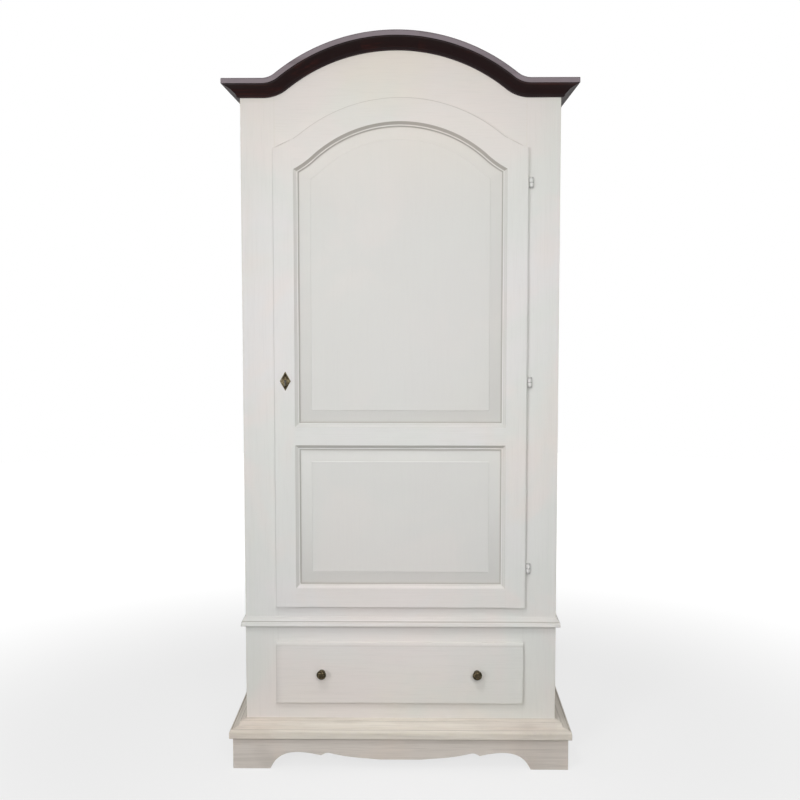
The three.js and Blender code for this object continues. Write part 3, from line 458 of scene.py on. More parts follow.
def plinth_wash(name, grain, base):
    """Browner limewash, rubbed by feet and brooms"""
    tones = settings("finish")
    patches = [
        (tones.plinth_pink, 4.1, 0.46, 0.68, 0.45),
        (tones.plinth_grey, 2.7, 0.5, 0.72, 0.35),
    ]
    paint = getattr(tones, base)
    return limewash(name, "plinth_paint", grain, paint, 0.0, patches, tones.plinth_grey, 0.3)


def walnut(name):
    """Dark stained and waxed wood, with a painted sheen on the nose, a painted reflection of the bright
    room, and painted shade in its quirks
    """
    finish = material(name, "dark_walnut")
    tones = settings("finish")
    place = finish.place()
    along = finish.stretched(place, ALONG["across"])
    figure = finish.pattern(along, "walnut figure")
    pores = finish.pattern(along, "walnut pores")
    patches = finish.between(finish.pattern(place, "walnut patches"), 0.4, 0.65)
    wood = finish.mixed(finish.between(figure, 0.4, 0.75) * patches, tones.walnut, tones.walnut_red)
    sheen, darkened = finish.wear()
    sheen_share = finish.between(finish.pattern(along, "walnut bloom"), 0.2, 0.6) * 0.35 + 0.65
    # painted sheen: a painted reflection of the room on the nose and the cove's lower end
    wood = finish.mixed(sheen * sheen_share, wood, tones.walnut_bloom)
    # painted shade in the quirks and under the nose
    wood = finish.mixed(darkened * 0.7, wood, WALNUT_HOLLOW_SHADE)
    return finish.surface(
        Base_Color=wood,
        Roughness=0.5 + figure * 0.14 + sheen * 0.1,
        Specular_IOR_Level=0.12,
        Normal=finish.bump(figure + pores * 0.6, distance=0.00012),
    )


def bare_wood(name, grain):
    """Planed fir: wide rings, lines of late wood and fine fibres"""
    finish = material(name, "bare_wood")
    tones = settings("finish")
    place = finish.place()
    along = finish.stretched(place, ALONG[grain])
    drift = finish.pattern(along, "fir rings")
    rings = finish.node("ShaderNodeMath", {"operation": "SINE"}, {0: drift * RING_TURN}) * 0.5 + 0.5
    fibre = finish.pattern(along, "fir fibre")
    wood = finish.mixed(finish.between(rings, 0.35, 1.0) * 0.55, tones.fir, tones.fir_late)
    wood = finish.mixed(finish.between(fibre, 0.45, 0.8) * 0.35, wood, tones.fir_late)
    rubbed, darkened = finish.wear()
    # painted shade in the inner corners
    wood = finish.mixed(darkened * 0.5, wood, FIR_CORNER_SHADE)
    wood = finish.mixed(rubbed * 0.25, wood, tones.fir)
    return finish.surface(
        Base_Color=wood,
        Roughness=0.6 + fibre * 0.2,
        Specular_IOR_Level=0.3,
        Normal=finish.bump(rings * 0.4 + fibre, distance=0.00014),
    )


def old_brass(name):
    """Dark aged brass, brighter where it is rubbed"""
    finish = material(name, "antique_brass")
    tones = settings("finish")
    place = finish.place()
    cloud = finish.between(finish.pattern(place, "brass tarnish"), 0.42, 0.66)
    rubbed, darkened = finish.wear()
    metal = finish.mixed(cloud * 0.4, tones.brass, tones.brass_bright)
    metal = finish.mixed(rubbed * 0.7, metal, tones.brass_bright)
    metal = finish.mixed(darkened * 0.8, metal, BRASS_GROOVE)
    return finish.surface(
        Base_Color=metal,
        Metallic=1.0,
        Roughness=0.2 + cloud * 0.14,
        Normal=finish.bump(finish.pattern(place, "brass dents"), distance=0.00006),
    )


def painted_steel(name):
    """Hinge barrels painted over with the frame, worn at their ends, with painted shade in the seam between
    their halves
    """
    finish = material(name, "hinge_metal")
    tones = settings("finish")
    place = finish.place()
    rubbed, darkened = finish.wear()
    chips = finish.between(finish.pattern(place, "hinge chips"), 0.5, 0.62)
    cool = finish.between(finish.pattern(place, "hinge patches"), 0.4, 0.7)
    paint = finish.mixed(cool, tones.cream, tones.cream_cool)
    paint = finish.mixed(rubbed * 0.5 + chips * 0.18, paint, tones.steel)
    # painted shade in the seam
    paint = finish.mixed(darkened * 0.9, paint, HINGE_SEAM_SHADE)
    return finish.surface(
        Base_Color=paint,
        Roughness=0.42 + chips * 0.15,
        Normal=finish.bump(finish.pattern(place, "hinge brush"), distance=0.00008),
    )


def dull_steel(name):
    """Dull grey steel with brushed lines"""
    finish = material(name, "lock_steel")
    tones = settings("finish")
    place = finish.place()
    lines = finish.pattern(finish.stretched(place, ALONG["across"]), "steel lines")
    stain = finish.between(finish.pattern(place, "steel stain"), 0.45, 0.7)
    rubbed, _ = finish.wear()
    metal = finish.mixed(stain * 0.5, tones.steel, STEEL_STAIN)
    metal = finish.mixed(rubbed * 0.6, metal, STEEL_RUBBED)
    return finish.surface(
        Base_Color=metal,
        Metallic=0.9,
        Roughness=0.38 + lines * 0.2,
        Normal=finish.bump(lines, distance=0.00005),
    )


MAKERS = {  # what makes each finish, and what it needs beside the name
    "cream_upright": (cream, "upright", "cream", 0.07),
    "cream_across": (cream, "across", "cream", 0.09),
    "cream_deep": (cream, "deep", "cream", 0.09),
    "cream_panel": (cream, "upright", "cream_field", 0.03, 0.35),
    "plinth_across": (plinth_wash, "across", "plinth"),
    "plinth_deep": (plinth_wash, "deep", "plinth"),
    "apron_across": (plinth_wash, "across", "apron"),
    "apron_deep": (plinth_wash, "deep", "apron"),
    "walnut": (walnut,),
    "fir_upright": (bare_wood, "upright"),
    "fir_across": (bare_wood, "across"),
    "fir_deep": (bare_wood, "deep"),
    "old_brass": (old_brass,),
    "painted_steel": (painted_steel,),
    "dull_steel": (dull_steel,),
}


def finish_named(name):
    """The material of that name, made when it is first asked for"""
    maker, *options = MAKERS[name]
    return bpy.data.materials.get(name) or maker(name, *options)


# Lines


def steps(start, end, count):
    return [start + (end - start) * i / count for i in range(count + 1)]


def spline(points, count):
    """A smooth line through the points, with that many steps from each to the next"""
    knots = [Vector(point) for point in points]
    line = [knots[0]]
    for i, (start, end) in enumerate(zip(knots, knots[1:])):
        leave = start + (end - knots[max(i - 1, 0)]) / 6
        arrive = end - (knots[min(i + 2, len(knots) - 1)] - start) / 6
        line += interpolate_bezier(start, leave, arrive, end, count + 1)[1:]
    return line


def heading(angle):
    """Up at 0, and towards +X at a quarter turn, as X and Z"""
    return Vector((math.sin(angle), math.cos(angle)))


class Arch:
    """A round crown that turns into hollow shoulders. Its points are X and Z."""

    def __init__(self, half, crown, round_radius, hollow_radius, turn_share):
        self.half = half
        self.round = round_radius
        self.hollow = hollow_radius
        self.centre = Vector((0, crown - round_radius))
        self.turn = math.asin(turn_share * half / round_radius)
        self.shoulder = self.centre + (round_radius + hollow_radius) * heading(self.turn)

    def line(self, inset):
        """From the right corner over the crown to the left corner"""
        count = settings("edges").arc_steps
        radius = self.hollow + inset
        corner = math.asin((self.shoulder.x - self.half + inset) / radius)
        hollow = [self.shoulder - radius * heading(a) for a in steps(corner, self.turn, count // 3)]
        crown = [self.centre + (self.round - inset) * heading(a) for a in steps(self.turn, 0, count)]
        right = hollow[:-1] + crown
        return right + [Vector((-p.x, p.y)) for p in reversed(right[:-1])]

    def height(self, across, inset=0.0):
        """Of the line at that distance from the middle"""
        crown = self.round - inset
        hollow = self.hollow + inset
        if abs(across) < crown * math.sin(self.turn):
            return self.centre.y + math.sqrt(crown**2 - across**2)
        return self.shoulder.y - math.sqrt(hollow**2 - (self.shoulder.x - abs(across)) ** 2)


# Shells


class Sweep:
    """A closed section that is carried along a path and leaves a skin behind it"""

    def __init__(self, points, wear=None):
        self.shell = bmesh.new()
        self.number = self.shell.verts.layers.int.new("number")
        worn = self.shell.verts.layers.float.new(WEAR)
        self.verts = [self.shell.verts.new(point) for point in points]
        for number, vert in enumerate(self.verts):
            vert[self.number] = number
            vert[worn] = wear[number] if wear else 0
        self.shell.faces.new(self.verts)
        self.edges = list(self.shell.edges)

    def go_on_from(self, made):
        """Takes the end that an operator has just made"""
        self.verts = [item for item in made if isinstance(item, bmesh.types.BMVert)]
        ends = set(self.verts)
        self.edges = [edge for edge in self.shell.edges if ends.issuperset(edge.verts)]

    def carry(self, points, wear=None):
        """Draws the section out to new points"""
        made = bmesh.ops.extrude_edge_only(self.shell, edges=self.edges)["geom"]
        self.go_on_from(made)
        worn = self.shell.verts.layers.float[WEAR]
        for vert in self.verts:
            vert.co = points[vert[self.number]]
            if wear is not None:
                vert[worn] = wear

    def shift(self, move):
        """Draws the section out to where each of its points moves"""
        ring = sorted(self.verts, key=lambda vert: vert[self.number])
        self.carry([move(vert.co) for vert in ring])

    def turn(self, centre, angle, count):
        """Draws the section round an upright circle, seen from the front"""
        made = bmesh.ops.spin(
            self.shell,
            geom=self.verts + self.edges,
            cent=centre,
            axis=(0, 1, 0),
            dvec=(0, 0, 0),
            angle=angle,
            steps=count,
            use_merge=False,
        )
        self.go_on_from(made["geom_last"])

    def close(self):
        ring = sorted(self.verts, key=lambda vert: vert[self.number])
        self.shell.faces.new(ring)
        self.shell.verts.layers.int.remove(self.shell.verts.layers.int["number"])
        return tidied(self.shell)


def tidied(shell):
    bmesh.ops.remove_doubles(shell, verts=shell.verts, dist=MERGE)
    bmesh.ops.recalc_face_normals(shell, faces=shell.faces)
    return shell


def lofted(rings, wear=None):
    sweep = Sweep(rings[0], wear)
    for ring in rings[1:]:
        sweep.carry(ring)
    return sweep.close()


def turned(profile, wear, count):
    """A solid turned about the Z axis from a profile of radius and height, which starts and ends at 0"""
    shell = bmesh.new()
    worn = shell.verts.layers.float.new(WEAR)
    verts = [shell.verts.new((radius, 0, height)) for radius, height in profile]
    for vert, value in zip(verts, wear):
        vert[worn] = value
    edges = [shell.edges.new(pair) for pair in zip(verts, verts[1:])]
    bmesh.ops.spin(
        shell,
        geom=verts + edges,
        cent=(0, 0, 0),
        axis=(0, 0, 1),
        dvec=(0, 0, 0),
        angle=math.tau,
        steps=count,
        use_merge=True,
    )
    return tidied(shell)


def copied(node):
    """The frame's own shape, with its loose triangles merged into whole faces"""
    shell = bmesh.new()
    shell.from_mesh(frame["nodes"][node].data)
    bmesh.ops.remove_doubles(shell, verts=shell.verts, dist=WELD)
    bmesh.ops.dissolve_limit(shell, angle_limit=FLAT, verts=shell.verts, edges=shell.edges)
    shell.verts.layers.float.new(WEAR)
    return shell


def sharp_edges(shell):
    return [edge for edge in shell.edges if edge.calc_face_angle(0) > SHARP]


def mark_wear(shell, joint_reach=0.0, joint_wear=-1.0):
    """Rubs the outer edges; darkens the inner ones with glaze and painted shade, and those within a joint's
    reach of the middle as joints
    """
    worn = shell.verts.layers.float[WEAR]
    for edge in sharp_edges(shell):
        for vert in edge.verts:
            vert[worn] = 1 if edge.is_convex and abs(vert.co.x) > joint_reach else joint_wear


def where(field):
    """What puts the fields in the same order each run: middle, direction and area"""
    middle = sum((face.calc_center_median() for face in field), Vector()) / len(field)
    area = sum(face.calc_area() for face in field)
    return [round(value, 5) for value in (*middle, *field[0].normal, area)]


def level_fields(shell):
    """Groups of faces that lie in one plane side by side"""
    left = set(shell.faces)
    fields = []
    while left:
        field = [left.pop()]
        for face in field:
            for edge in face.edges:
                for other in edge.link_faces:
                    if other in left and other.normal.dot(face.normal) > LEVEL:
                        left.discard(other)
                        field.append(other)
        fields.append(field)
    return sorted(fields, key=where)


BAND_ROOM = 2.5  # least area of a field that gets a band, over its outline and the band's width


def banded(shell, band):
    """Keeps wear near the edges: every wide flat field gets a narrow band round it"""
    worn = shell.verts.layers.float[WEAR]
    for field in level_fields(shell):
        inside = set(field)
        area = sum(face.calc_area() for face in field)
        rim = [e for face in field for e in face.edges if not inside.issuperset(e.link_faces)]
        around = sum(edge.calc_length() for edge in rim)
        if area < BAND_ROOM * band * around:
            continue
        bmesh.ops.inset_region(
            shell, faces=field, thickness=band, use_boundary=True, use_even_offset=True
        )
        for face in field:
            for vert in face.verts:
                vert[worn] = 0


SHORTEST_ROUNDED = 0.003


def rounded(shell, arris, joint_reach=0.0):
    """Rounds the outer edges a little, but not those within a joint's reach of the middle"""
    edges = [
        edge
        for edge in sharp_edges(shell)
        if edge.is_convex
        and edge.calc_length() > SHORTEST_ROUNDED
        and max(abs(vert.co.x) for vert in edge.verts) > joint_reach
    ]
    bmesh.ops.bevel(
        shell,
        geom=edges,
        offset=arris,
        offset_type="OFFSET",
        segments=settings("edges").arris_steps,
        profile=0.5,
        affect="EDGES",
        clamp_overlap=False,
        material=-1,
    )


def combined(shell, tool, operation):
    """One shell joined to or cut by another"""
    objects = []
    for part in (shell, tool):
        mesh = bpy.data.meshes.new("work")
        part.to_mesh(mesh)
        part.free()
        objects.append(bpy.data.objects.new("work", mesh))
        bpy.context.scene.collection.objects.link(objects[-1])
    modifier = objects[0].modifiers.new("Boolean", "BOOLEAN")
    modifier.operation = operation
    modifier.object = objects[1]
    modifier.solver = "EXACT"
    bpy.context.view_layer.update()
    result = bmesh.new()
    result.from_object(objects[0], bpy.context.evaluated_depsgraph_get())
    for item in objects:
        mesh = item.data
        bpy.data.objects.remove(item)
        bpy.data.meshes.remove(mesh)
    bmesh.ops.dissolve_degenerate(result, dist=MERGE, edges=result.edges)
    return tidied(result)


def moved(shell, matrix):
    bmesh.ops.transform(shell, matrix=matrix, verts=shell.verts)
    return shell


def cut_through(shell, place, direction):
    """Draws new edges where a plane meets the shell, so that wear can change there"""
    whole = shell.verts[:] + shell.edges[:] + shell.faces[:]
    bmesh.ops.bisect_plane(shell, geom=whole, plane_co=place, plane_no=direction)


def block(middle, size):
    shell = bmesh.new()
    matrix = Matrix.Translation(middle) @ Matrix.Diagonal((*size, 1))
    bmesh.ops.create_cube(shell, size=1, matrix=matrix)
    return shell


def cylinder(radius, length, matrix, count):
    """A round bar about the matrix's Z axis"""
    shell = bmesh.new()
    bmesh.ops.create_cone(
        shell,
        cap_ends=True,
        segments=count,
        radius1=radius,
        radius2=radius,
        depth=length,
        matrix=matrix,
    )
    return shell


TENON_LAP = 0.01  # how far a tenon's block laps its rail, as a share of the shoulder's distance


def tenon(node, shoulder, side, grow=0.0):
    """The block that a rail of the frame has past its shoulder, grown on every side"""
    past = shoulder * (1 + TENON_LAP)
    points = [v.co for v in frame["nodes"][node].data.vertices if side * v.co.x > past]
    near = Vector([min(point[i] for point in points) - grow for i in range(3)])
    far = Vector([max(point[i] for point in points) + grow for i in range(3)])
    inner = side * shoulder * (1 - TENON_LAP)
    near.x = min(near.x, inner)
    far.x = max(far.x, inner)
    return block((near + far) / 2, far - near)


def tenoned(shell, node, shoulder):
    """A rail's shell with a tenon at each end"""
    for side in (-1, 1):
        shell = combined(shell, tenon(node, shoulder, side), "UNION")
    return shell


def mortised(shell, nodes, shoulder, side, fit):
    """A stile's shell with a hole for each rail's tenon"""
    for node in nodes:
        shell = combined(shell, tenon(node, shoulder, side, fit), "DIFFERENCE")
    return shell


# Pieces


def low(node):
    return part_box(node)[0]


def high(node):
    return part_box(node)[1]


shown = []


def piece(shell, node, finish):
    """Puts a shell in the scene in place of its node, and gives it the next number"""
    mesh = bpy.data.meshes.new(node + "_piece")
    for face in shell.faces:
        face.smooth = True
    for edge in shell.edges:
        edge.smooth = edge.calc_face_angle(0) < SHARP
    shell.to_mesh(mesh)
    shell.free()
    number = mesh.attributes.new(BOARD, "FLOAT", "POINT")
    number.data.foreach_set("value", [float(len(shown))] * len(mesh.vertices))
    made = bpy.data.objects.new(node + "_piece", mesh)
    bpy.context.scene.collection.objects.link(made)
    mesh.materials.append(finish_named(finish))
    shading = made.modifiers.new("Weighted normals", "WEIGHTED_NORMAL")
    shading.keep_sharp = True
    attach(made, body_of(frame["nodes"][node])[0])
    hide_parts(node)
    shown.append(made)


JOINT_WEAR = -0.2  # glaze left along the joints of the front frame


def planed(node, finish, joint_reach=0.0, cuts=()):
    """A piece with the frame's shape, worn and rounded at its edges, and cut at some heights first"""
    edges = settings("edges")
    shell = copied(node)
    for height in cuts:
        cut_through(shell, (0, 0, height), (0, 0, 1))
    mark_wear(shell, joint_reach, JOINT_WEAR if joint_reach else -1.0)
    banded(shell, edges.band)
    rounded(shell, edges.arris, joint_reach)
    piece(shell, node, finish)


# Door


# Into the opening and back from the door's face, as shares of the moulding's width and depth, with wear:
# glaze at the quirk, painted shade down the slope, and glaze and painted shade in the drop to the panel
MOULDING_SHARES = [
    (0, 0, 0.1),
    (0, 0.06, -0.6),
    (0.03, 0.1, -0.3),
    (0.12, 0.2, -0.24),
    (0.3, 0.4, -0.24),
    (0.48, 0.59, -0.24),
    (0.59, 0.705, -0.3),
    (0.63, 0.72, 0),
    (0.81, 0.72, 0.2),
    (0.835, 0.75, -0.2),
    (0.85, 0.86, -1),
    (0.88, 1, -1),
    (1, 1, -1),
]


SLOPE_END = 0.6  # share of the moulding's width where its slope ends

# Wear of each member's outer edge, and painted shade on the slope of its moulded one. The hinge stile's
# outer edge is darkened as a painted shadow beside the door, and the top rail's outer edge with glaze along
# the arch; the top rail's slope faces down and gets the most painted shade.
HINGE_STILE_WEAR_AND_SHADE = (-0.3, 0.1)
LOCK_STILE_WEAR_AND_SHADE = (-0.2, 0.15)
BOTTOM_RAIL_WEAR_AND_SHADE = (0, 0)
TOP_RAIL_WEAR_AND_SHADE = (-0.5, 0.8)
MID_RAIL_SLOPE_SHADE = (0.15, 0.35)  # painted shade on the slope of its upper moulded edge, and more on its lower one, which faces down


def moulded_edge(slope_shade):
    """From the door's face to the panel: distance into the opening, depth and wear"""
    sizes = settings("door")
    edge = []
    for across, back, wear in MOULDING_SHARES:
        # painted shade on the slope
        if 0 < across < SLOPE_END:
            wear -= slope_shade
        edge.append((across * sizes.moulding_width, back * sizes.moulding_depth, wear))
    return edge


def groove_line(thickness):
    """From the moulded edge round the panel groove to the back"""
    sizes = settings("door")
    width = sizes.moulding_width
    bottom = width - sizes.groove_depth
    front = sizes.groove_front
    back = front + sizes.groove_width
    return [
        (width, front, -1),
        (bottom, front, -1),
        (bottom, back, -1),
        (width, back, -1),
        (width, thickness, 0.5),
    ]


class Door:
    """Where the door's lines run, read from the frame"""

    def __init__(self):
        sizes = settings("door")
        tongue = sizes.moulding_width - sizes.groove_depth + sizes.fit
        self.tongue = tongue
        self.face = low("door_stile_hinge").y
        self.thickness = high("door_stile_hinge").y - self.face
        self.half = high("door_stile_hinge").x
        self.bottom = low("door_stile_hinge").z
        self.cover = low("front_stile_right").y - self.face - sizes.fit
        self.rebate = sizes.overlap + sizes.gap
        self.panel_half = high("door_lower_panel").x + tongue
        self.lower = (low("door_lower_panel").z - tongue, high("door_lower_panel").z + tongue)
        self.upper_bottom = low("door_upper_panel").z - tongue
        self.top = Arch(
            self.half,
            high("door_top_rail").z,
            sizes.crown_radius,
            sizes.shoulder_radius,
            sizes.turn_share,
        )
        self.panel_top = Arch(
            self.panel_half,
            high("door_upper_panel").z + tongue,
            sizes.panel_crown_radius,
            sizes.panel_shoulder_radius,
            sizes.panel_turn_share,
        )

    def lower_outline(self, inset):
        """Of the lower panel, drawn that far in from its tongue's edge"""
        half = self.panel_half - self.tongue - inset
        bottom, top = (self.lower[0] + self.tongue + inset, self.lower[1] - self.tongue - inset)
        return [(-half, bottom), (half, bottom), (half, top), (-half, top)]

    def upper_outline(self, inset):
        half = self.panel_half - self.tongue - inset
        bottom = self.upper_bottom + self.tongue + inset
        return [(-half, bottom), (half, bottom), *self.panel_top.line(self.tongue + inset)]


# A member's section goes round it as (share, depth, wear): shares run from 0 at the opening to 1 at
# the outer edge. Below 0 they are metres into the opening, and above 1 they are 1 and metres in from
# the outer edge.
FIELD_SHARES = [0.95, 0.75, 0.5, 0.25, 0.05]


def member_section(door, outer_wear, slope_shade):
    """Outer wear is the wear of the outer edge, and slope shade the extra painted shade on the slope of the
    moulded one
    """
    arris = settings("edges").door_arris
    curve = 0.3 * arris
    front = [(1, arris, outer_wear), (1 + curve, curve, outer_wear), (1 + arris, 0, outer_wear)]
    front += [(1 + 2 * arris, 0, 0)] + [(place, 0, 0) for place in FIELD_SHARES]
    inwards = moulded_edge(slope_shade) + groove_line(door.thickness)
    edge = [(-inset, depth, wear) for inset, depth, wear in inwards]
    back = [(place, door.thickness, 0) for place in reversed(FIELD_SHARES[1:])]
    inner = 1 + door.rebate
    rebate = [(inner, door.thickness, 0.5), (inner, door.cover, -1), (1, door.cover, -0.5)]
    return front + edge + back + rebate


def door_stile(door, side):
    """Upright member: plain beside the rails, moulded beside the panels"""
    section = member_section(door, *(HINGE_STILE_WEAR_AND_SHADE if side > 0 else LOCK_STILE_WEAR_AND_SHADE))
    width = door.half - door.panel_half

    def across(place):
        if place > 1:
            return door.half - (place - 1)
        return door.panel_half + (place if place < 0 else place * width)

    def ring(height, moulded, deep=door.thickness):
        points = []
        deepest = 0
        for place, depth, _ in section:
            x = across(place)
            if place < 0 and not moulded:
                deepest = max(deepest, depth)
                x = door.panel_half
                depth = deepest
            points.append(Vector((x, door.face + min(depth, deep), height(x))))
        return points

    def level(z):
        return lambda x: z

    def mitre(z, direction):
        """Up or down by as much as a point lies inside the opening"""
        return lambda x: z + direction * max(0, door.panel_half - x)

    def corner(x):
        return door.panel_top.line(max(0, door.panel_half - x))[0].y

    def back_top(x):
        return door.top.height(x, door.rebate)

    rings = [
        ring(level(door.bottom), False, door.cover),
        ring(level(door.bottom + door.rebate), False, door.cover),
        ring(level(door.bottom + door.rebate), False),
        ring(level(door.lower[0]), False),
        ring(mitre(door.lower[0], 1), True),
        ring(mitre(door.lower[1], -1), True),
        ring(level(door.lower[1]), False),
        ring(level(door.upper_bottom), False),
        ring(mitre(door.upper_bottom, 1), True),
        ring(corner, True),
        ring(level(corner(door.panel_half)), False),
        ring(back_top, False),
        ring(back_top, False, door.cover),
        ring(door.top.height, False, door.cover),
    ]
    shell = lofted(rings, [wear for _, _, wear in section])
    if side < 0:
        shell = tidied(moved(shell, Matrix.Diagonal((-1, 1, 1, 1))))
    return shell


def straight_rail(door, section):
    """A rail between the stiles, from points of height, distance into an opening, depth and wear"""
    rings = []
    for side in (-1, 1):
        ring = []
        for z, inset, depth, _ in section:
            ring.append(Vector((side * (door.panel_half - inset), door.face + depth, z)))
        rings.append(ring)
    return lofted(rings, [wear for _, _, _, wear in section])


def door_bottom_rail(door):
    width = door.lower[0] - door.bottom

    def height(place):
        if place > 1:
            return door.bottom + place - 1
        return door.lower[0] - place * (width if place > 0 else 1)

    section = []
    for place, depth, wear in member_section(door, *BOTTOM_RAIL_WEAR_AND_SHADE):
        section.append((height(place), max(0, -place), depth, wear))
    return straight_rail(door, section)


def door_mid_rail(door):
    bottom = door.lower[1]
    top = door.upper_bottom
    groove = groove_line(door.thickness)
    above, below = [moulded_edge(slope_shade) + groove for slope_shade in MID_RAIL_SLOPE_SHADE]
    upper = [(top + inset, inset, depth, wear) for inset, depth, wear in above]
    lower = [(bottom - inset, inset, depth, wear) for inset, depth, wear in below]
    field = [bottom + (top - bottom) * place for place in reversed(FIELD_SHARES)]
    front = [(z, 0, 0, 0) for z in field]
    back = [(z, 0, door.thickness, 0) for z in reversed(field)]
    return straight_rail(door, front + upper + back + lower[::-1])


def door_top_rail(door):
    section = member_section(door, *TOP_RAIL_WEAR_AND_SHADE)
    insets = sorted({min(place, 0) for place, _, _ in section})
    lines = {inset: door.panel_top.line(-inset) for inset in insets}
    rings = []
    for number, start in enumerate(lines[0]):
        ring = []
        for place, depth, _ in section:
            point = lines[min(place, 0)][number]
            if place > 0:
                outer = Vector((start.x, door.top.height(start.x, max(place - 1, 0))))
                point = start.lerp(outer, min(place, 1))
            ring.append(Vector((point.x, door.face + depth, point.y)))
        rings.append(ring)
    return lofted(rings, [wear for _, _, wear in section])


TONGUE_GLAZE_AND_SHADE = -0.5  # glaze and painted shade where the bevel rises from the moulding round it
STEP_WEAR = (-0.1, 0.15)  # at the foot and the top of the step round the field
LOWER_BEVEL_SHADE = -0.25  # painted shade on the lower bevel, which faces down, away from the lamps


def raised_panel(door, outline):
    """A board with a tongue round it, a bevel and a raised field. The outline is drawn at an inset."""
    sizes = settings("door")
    band = settings("edges").band
    near = band / sizes.bevel_width
    front = door.face + sizes.groove_front + sizes.fit
    back = door.face + sizes.groove_front + sizes.groove_width - sizes.fit
    bevel = sizes.groove_depth
    field = bevel + sizes.bevel_width
    step = field + sizes.field_raise
    top = front - sizes.bevel_rise - sizes.field_raise
    section = [
        (0, front, 0),
        (bevel, front, TONGUE_GLAZE_AND_SHADE),
        (bevel + band, front - sizes.bevel_rise * near, 0),
        (field - band, front - sizes.bevel_rise * (1 - near), 0),
        (field, front - sizes.bevel_rise, STEP_WEAR[0]),
        (step, top, STEP_WEAR[1]),
        (step + band, top, 0),
    ]
    sweep = Sweep([Vector((p[0], back, p[1])) for p in outline(0)])
    for inset, depth, wear in section:
        sweep.carry([Vector((p[0], depth, p[1])) for p in outline(inset)], wear)
    shell = sweep.close()
    worn = shell.verts.layers.float[WEAR]
    bottom = outline(0)[0][1]
    # painted shade on the lower bevel
    for vert in shell.verts:
        if bevel < vert.co.z - bottom < field and abs(vert[worn]) < 0.1:
            vert[worn] = LOWER_BEVEL_SHADE
    return shell


KEYHOLE_STEPS = 32


def keyhole_cutter(door):
    """What is cut out of the lock stile: a round hole with a slot below it"""
    fittings = settings("fittings")
    across = fittings.keyhole_inset - door.half
    height = fittings.keyhole_height
    run = 4 * door.thickness
    forwards = Matrix.Rotation(math.pi / 2, 4, "X")
    matrix = Matrix.Translation((across, door.face, height)) @ forwards
    hole = cylinder(fittings.keyhole_radius, run, matrix, KEYHOLE_STEPS)
    middle = Vector((across, door.face, height - fittings.keyhole_drop / 2))
    slot = block(middle, (fittings.keyhole_slot, run, fittings.keyhole_drop))
    return combined(hole, slot, "UNION")


class BuildDoor(bpy.types.Operator):
    """Makes the door: two stiles, three rails and two raised panels"""

    bl_idname = "bonnetiere.door"
    bl_label = "Door"

    def execute(self, context):
        door = Door()
        half = door.panel_half
        rails = {
            "door_bottom_rail": door_bottom_rail(door),
            "door_mid_rail": door_mid_rail(door),
            "door_top_rail": door_top_rail(door),
        }
        fit = settings("door").fit
        hinge_stile = mortised(door_stile(door, 1), rails, half, 1, fit)
        lock_stile = mortised(door_stile(door, -1), rails, half, -1, fit)
        lock_stile = combined(lock_stile, keyhole_cutter(door), "DIFFERENCE")
        piece(hinge_stile, "door_stile_hinge", "cream_upright")
        piece(lock_stile, "door_stile_lock", "cream_upright")
        for name, rail in rails.items():
            piece(tenoned(rail, name, half), name, "cream_across")
        piece(raised_panel(door, door.lower_outline), "door_lower_panel", "cream_panel")
        piece(raised_panel(door, door.upper_outline), "door_upper_panel", "cream_panel")
        return {"FINISHED"}


# Front frame


class Bend:
    """Centres and sweep of the cornice's top line"""

    def __init__(self):
        sizes = settings("cornice")
        self.sizes = sizes
        self.flat = high("side_frame_left").z
        self.centre = Vector((sizes.crown_shift, high("cornice_front_centre").z - sizes.crown_radius))
        rise = self.flat + sizes.fillet_radius - self.centre.y
        reach = sizes.crown_radius + sizes.fillet_radius
        self.across = math.sqrt(reach**2 - rise**2)
        self.sweep = math.atan2(self.across, rise)

    def fillet_centre(self, side):
        return Vector((self.centre.x + side * self.across, self.flat + self.sizes.fillet_radius))


def top_line():
    """The cornice's top line from left to right: flat end, fillet, arch, fillet, flat end"""
    sizes = settings("cornice")
    count = settings("edges").arc_steps
    bend = Bend()
    half = high("front_stile_right").x

    def fillet(side, angles):
        centre = bend.fillet_centre(side)
        return [centre - sizes.fillet_radius * heading(side * a) for a in angles]

    left = fillet(-1, steps(0, bend.sweep, count // 3))
    angles = steps(-bend.sweep, bend.sweep, count * 2)
    arch = [bend.centre + sizes.crown_radius * heading(a) for a in angles]
    right = fillet(1, steps(bend.sweep, 0, count // 3))
    ends = [Vector((-half, bend.flat)), Vector((half, bend.flat))]
    return ends[:1] + left + arch[1:-1] + right + ends[1:]


def frieze_rail():
    """The rail over the door: arched below, and following the cornice above"""
    sizes = settings("door")
    door = Door()
    half = door.half - sizes.overlap
    face = low("front_stile_left").y
    back = high("front_stile_left").y
    upper = [p for p in top_line() if abs(p.x) < half]
    flat = [Vector((-half, Bend().flat)), Vector((half, Bend().flat))]
    heights = [flat[0]] + upper + [flat[1]]

    def ring(depth, inset):
        """The outline at that depth, with its opening and its ends drawn in"""
        arch = door.top.line(sizes.overlap + inset)
        corner = arch[0].y
        reach = half - inset
        outline = heights + [Vector((half, corner))] + arch + [Vector((-half, corner))]
        return [Vector((max(-reach, min(reach, p.x)), depth, p.y)) for p in outline]

    lip = face + sizes.lip_depth
    shell = lofted([ring(face, 0), ring(lip, 0), ring(lip, sizes.lip), ring(back, sizes.lip)])
    mark_wear(shell, half, JOINT_WEAR)
    banded(shell, settings("edges").band)
    return tenoned(shell, "frieze_rail", half)


def hinge_cuts(band):
    """Heights just below and above each hinge, where the right stile has a hole"""
    cuts = []
    for place in ("lower", "middle", "upper"):
        corner_low, corner_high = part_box("hinge_frame_half_" + place)
        cuts += [corner_low.z - 3 * band, corner_high.z + 3 * band]
    return cuts


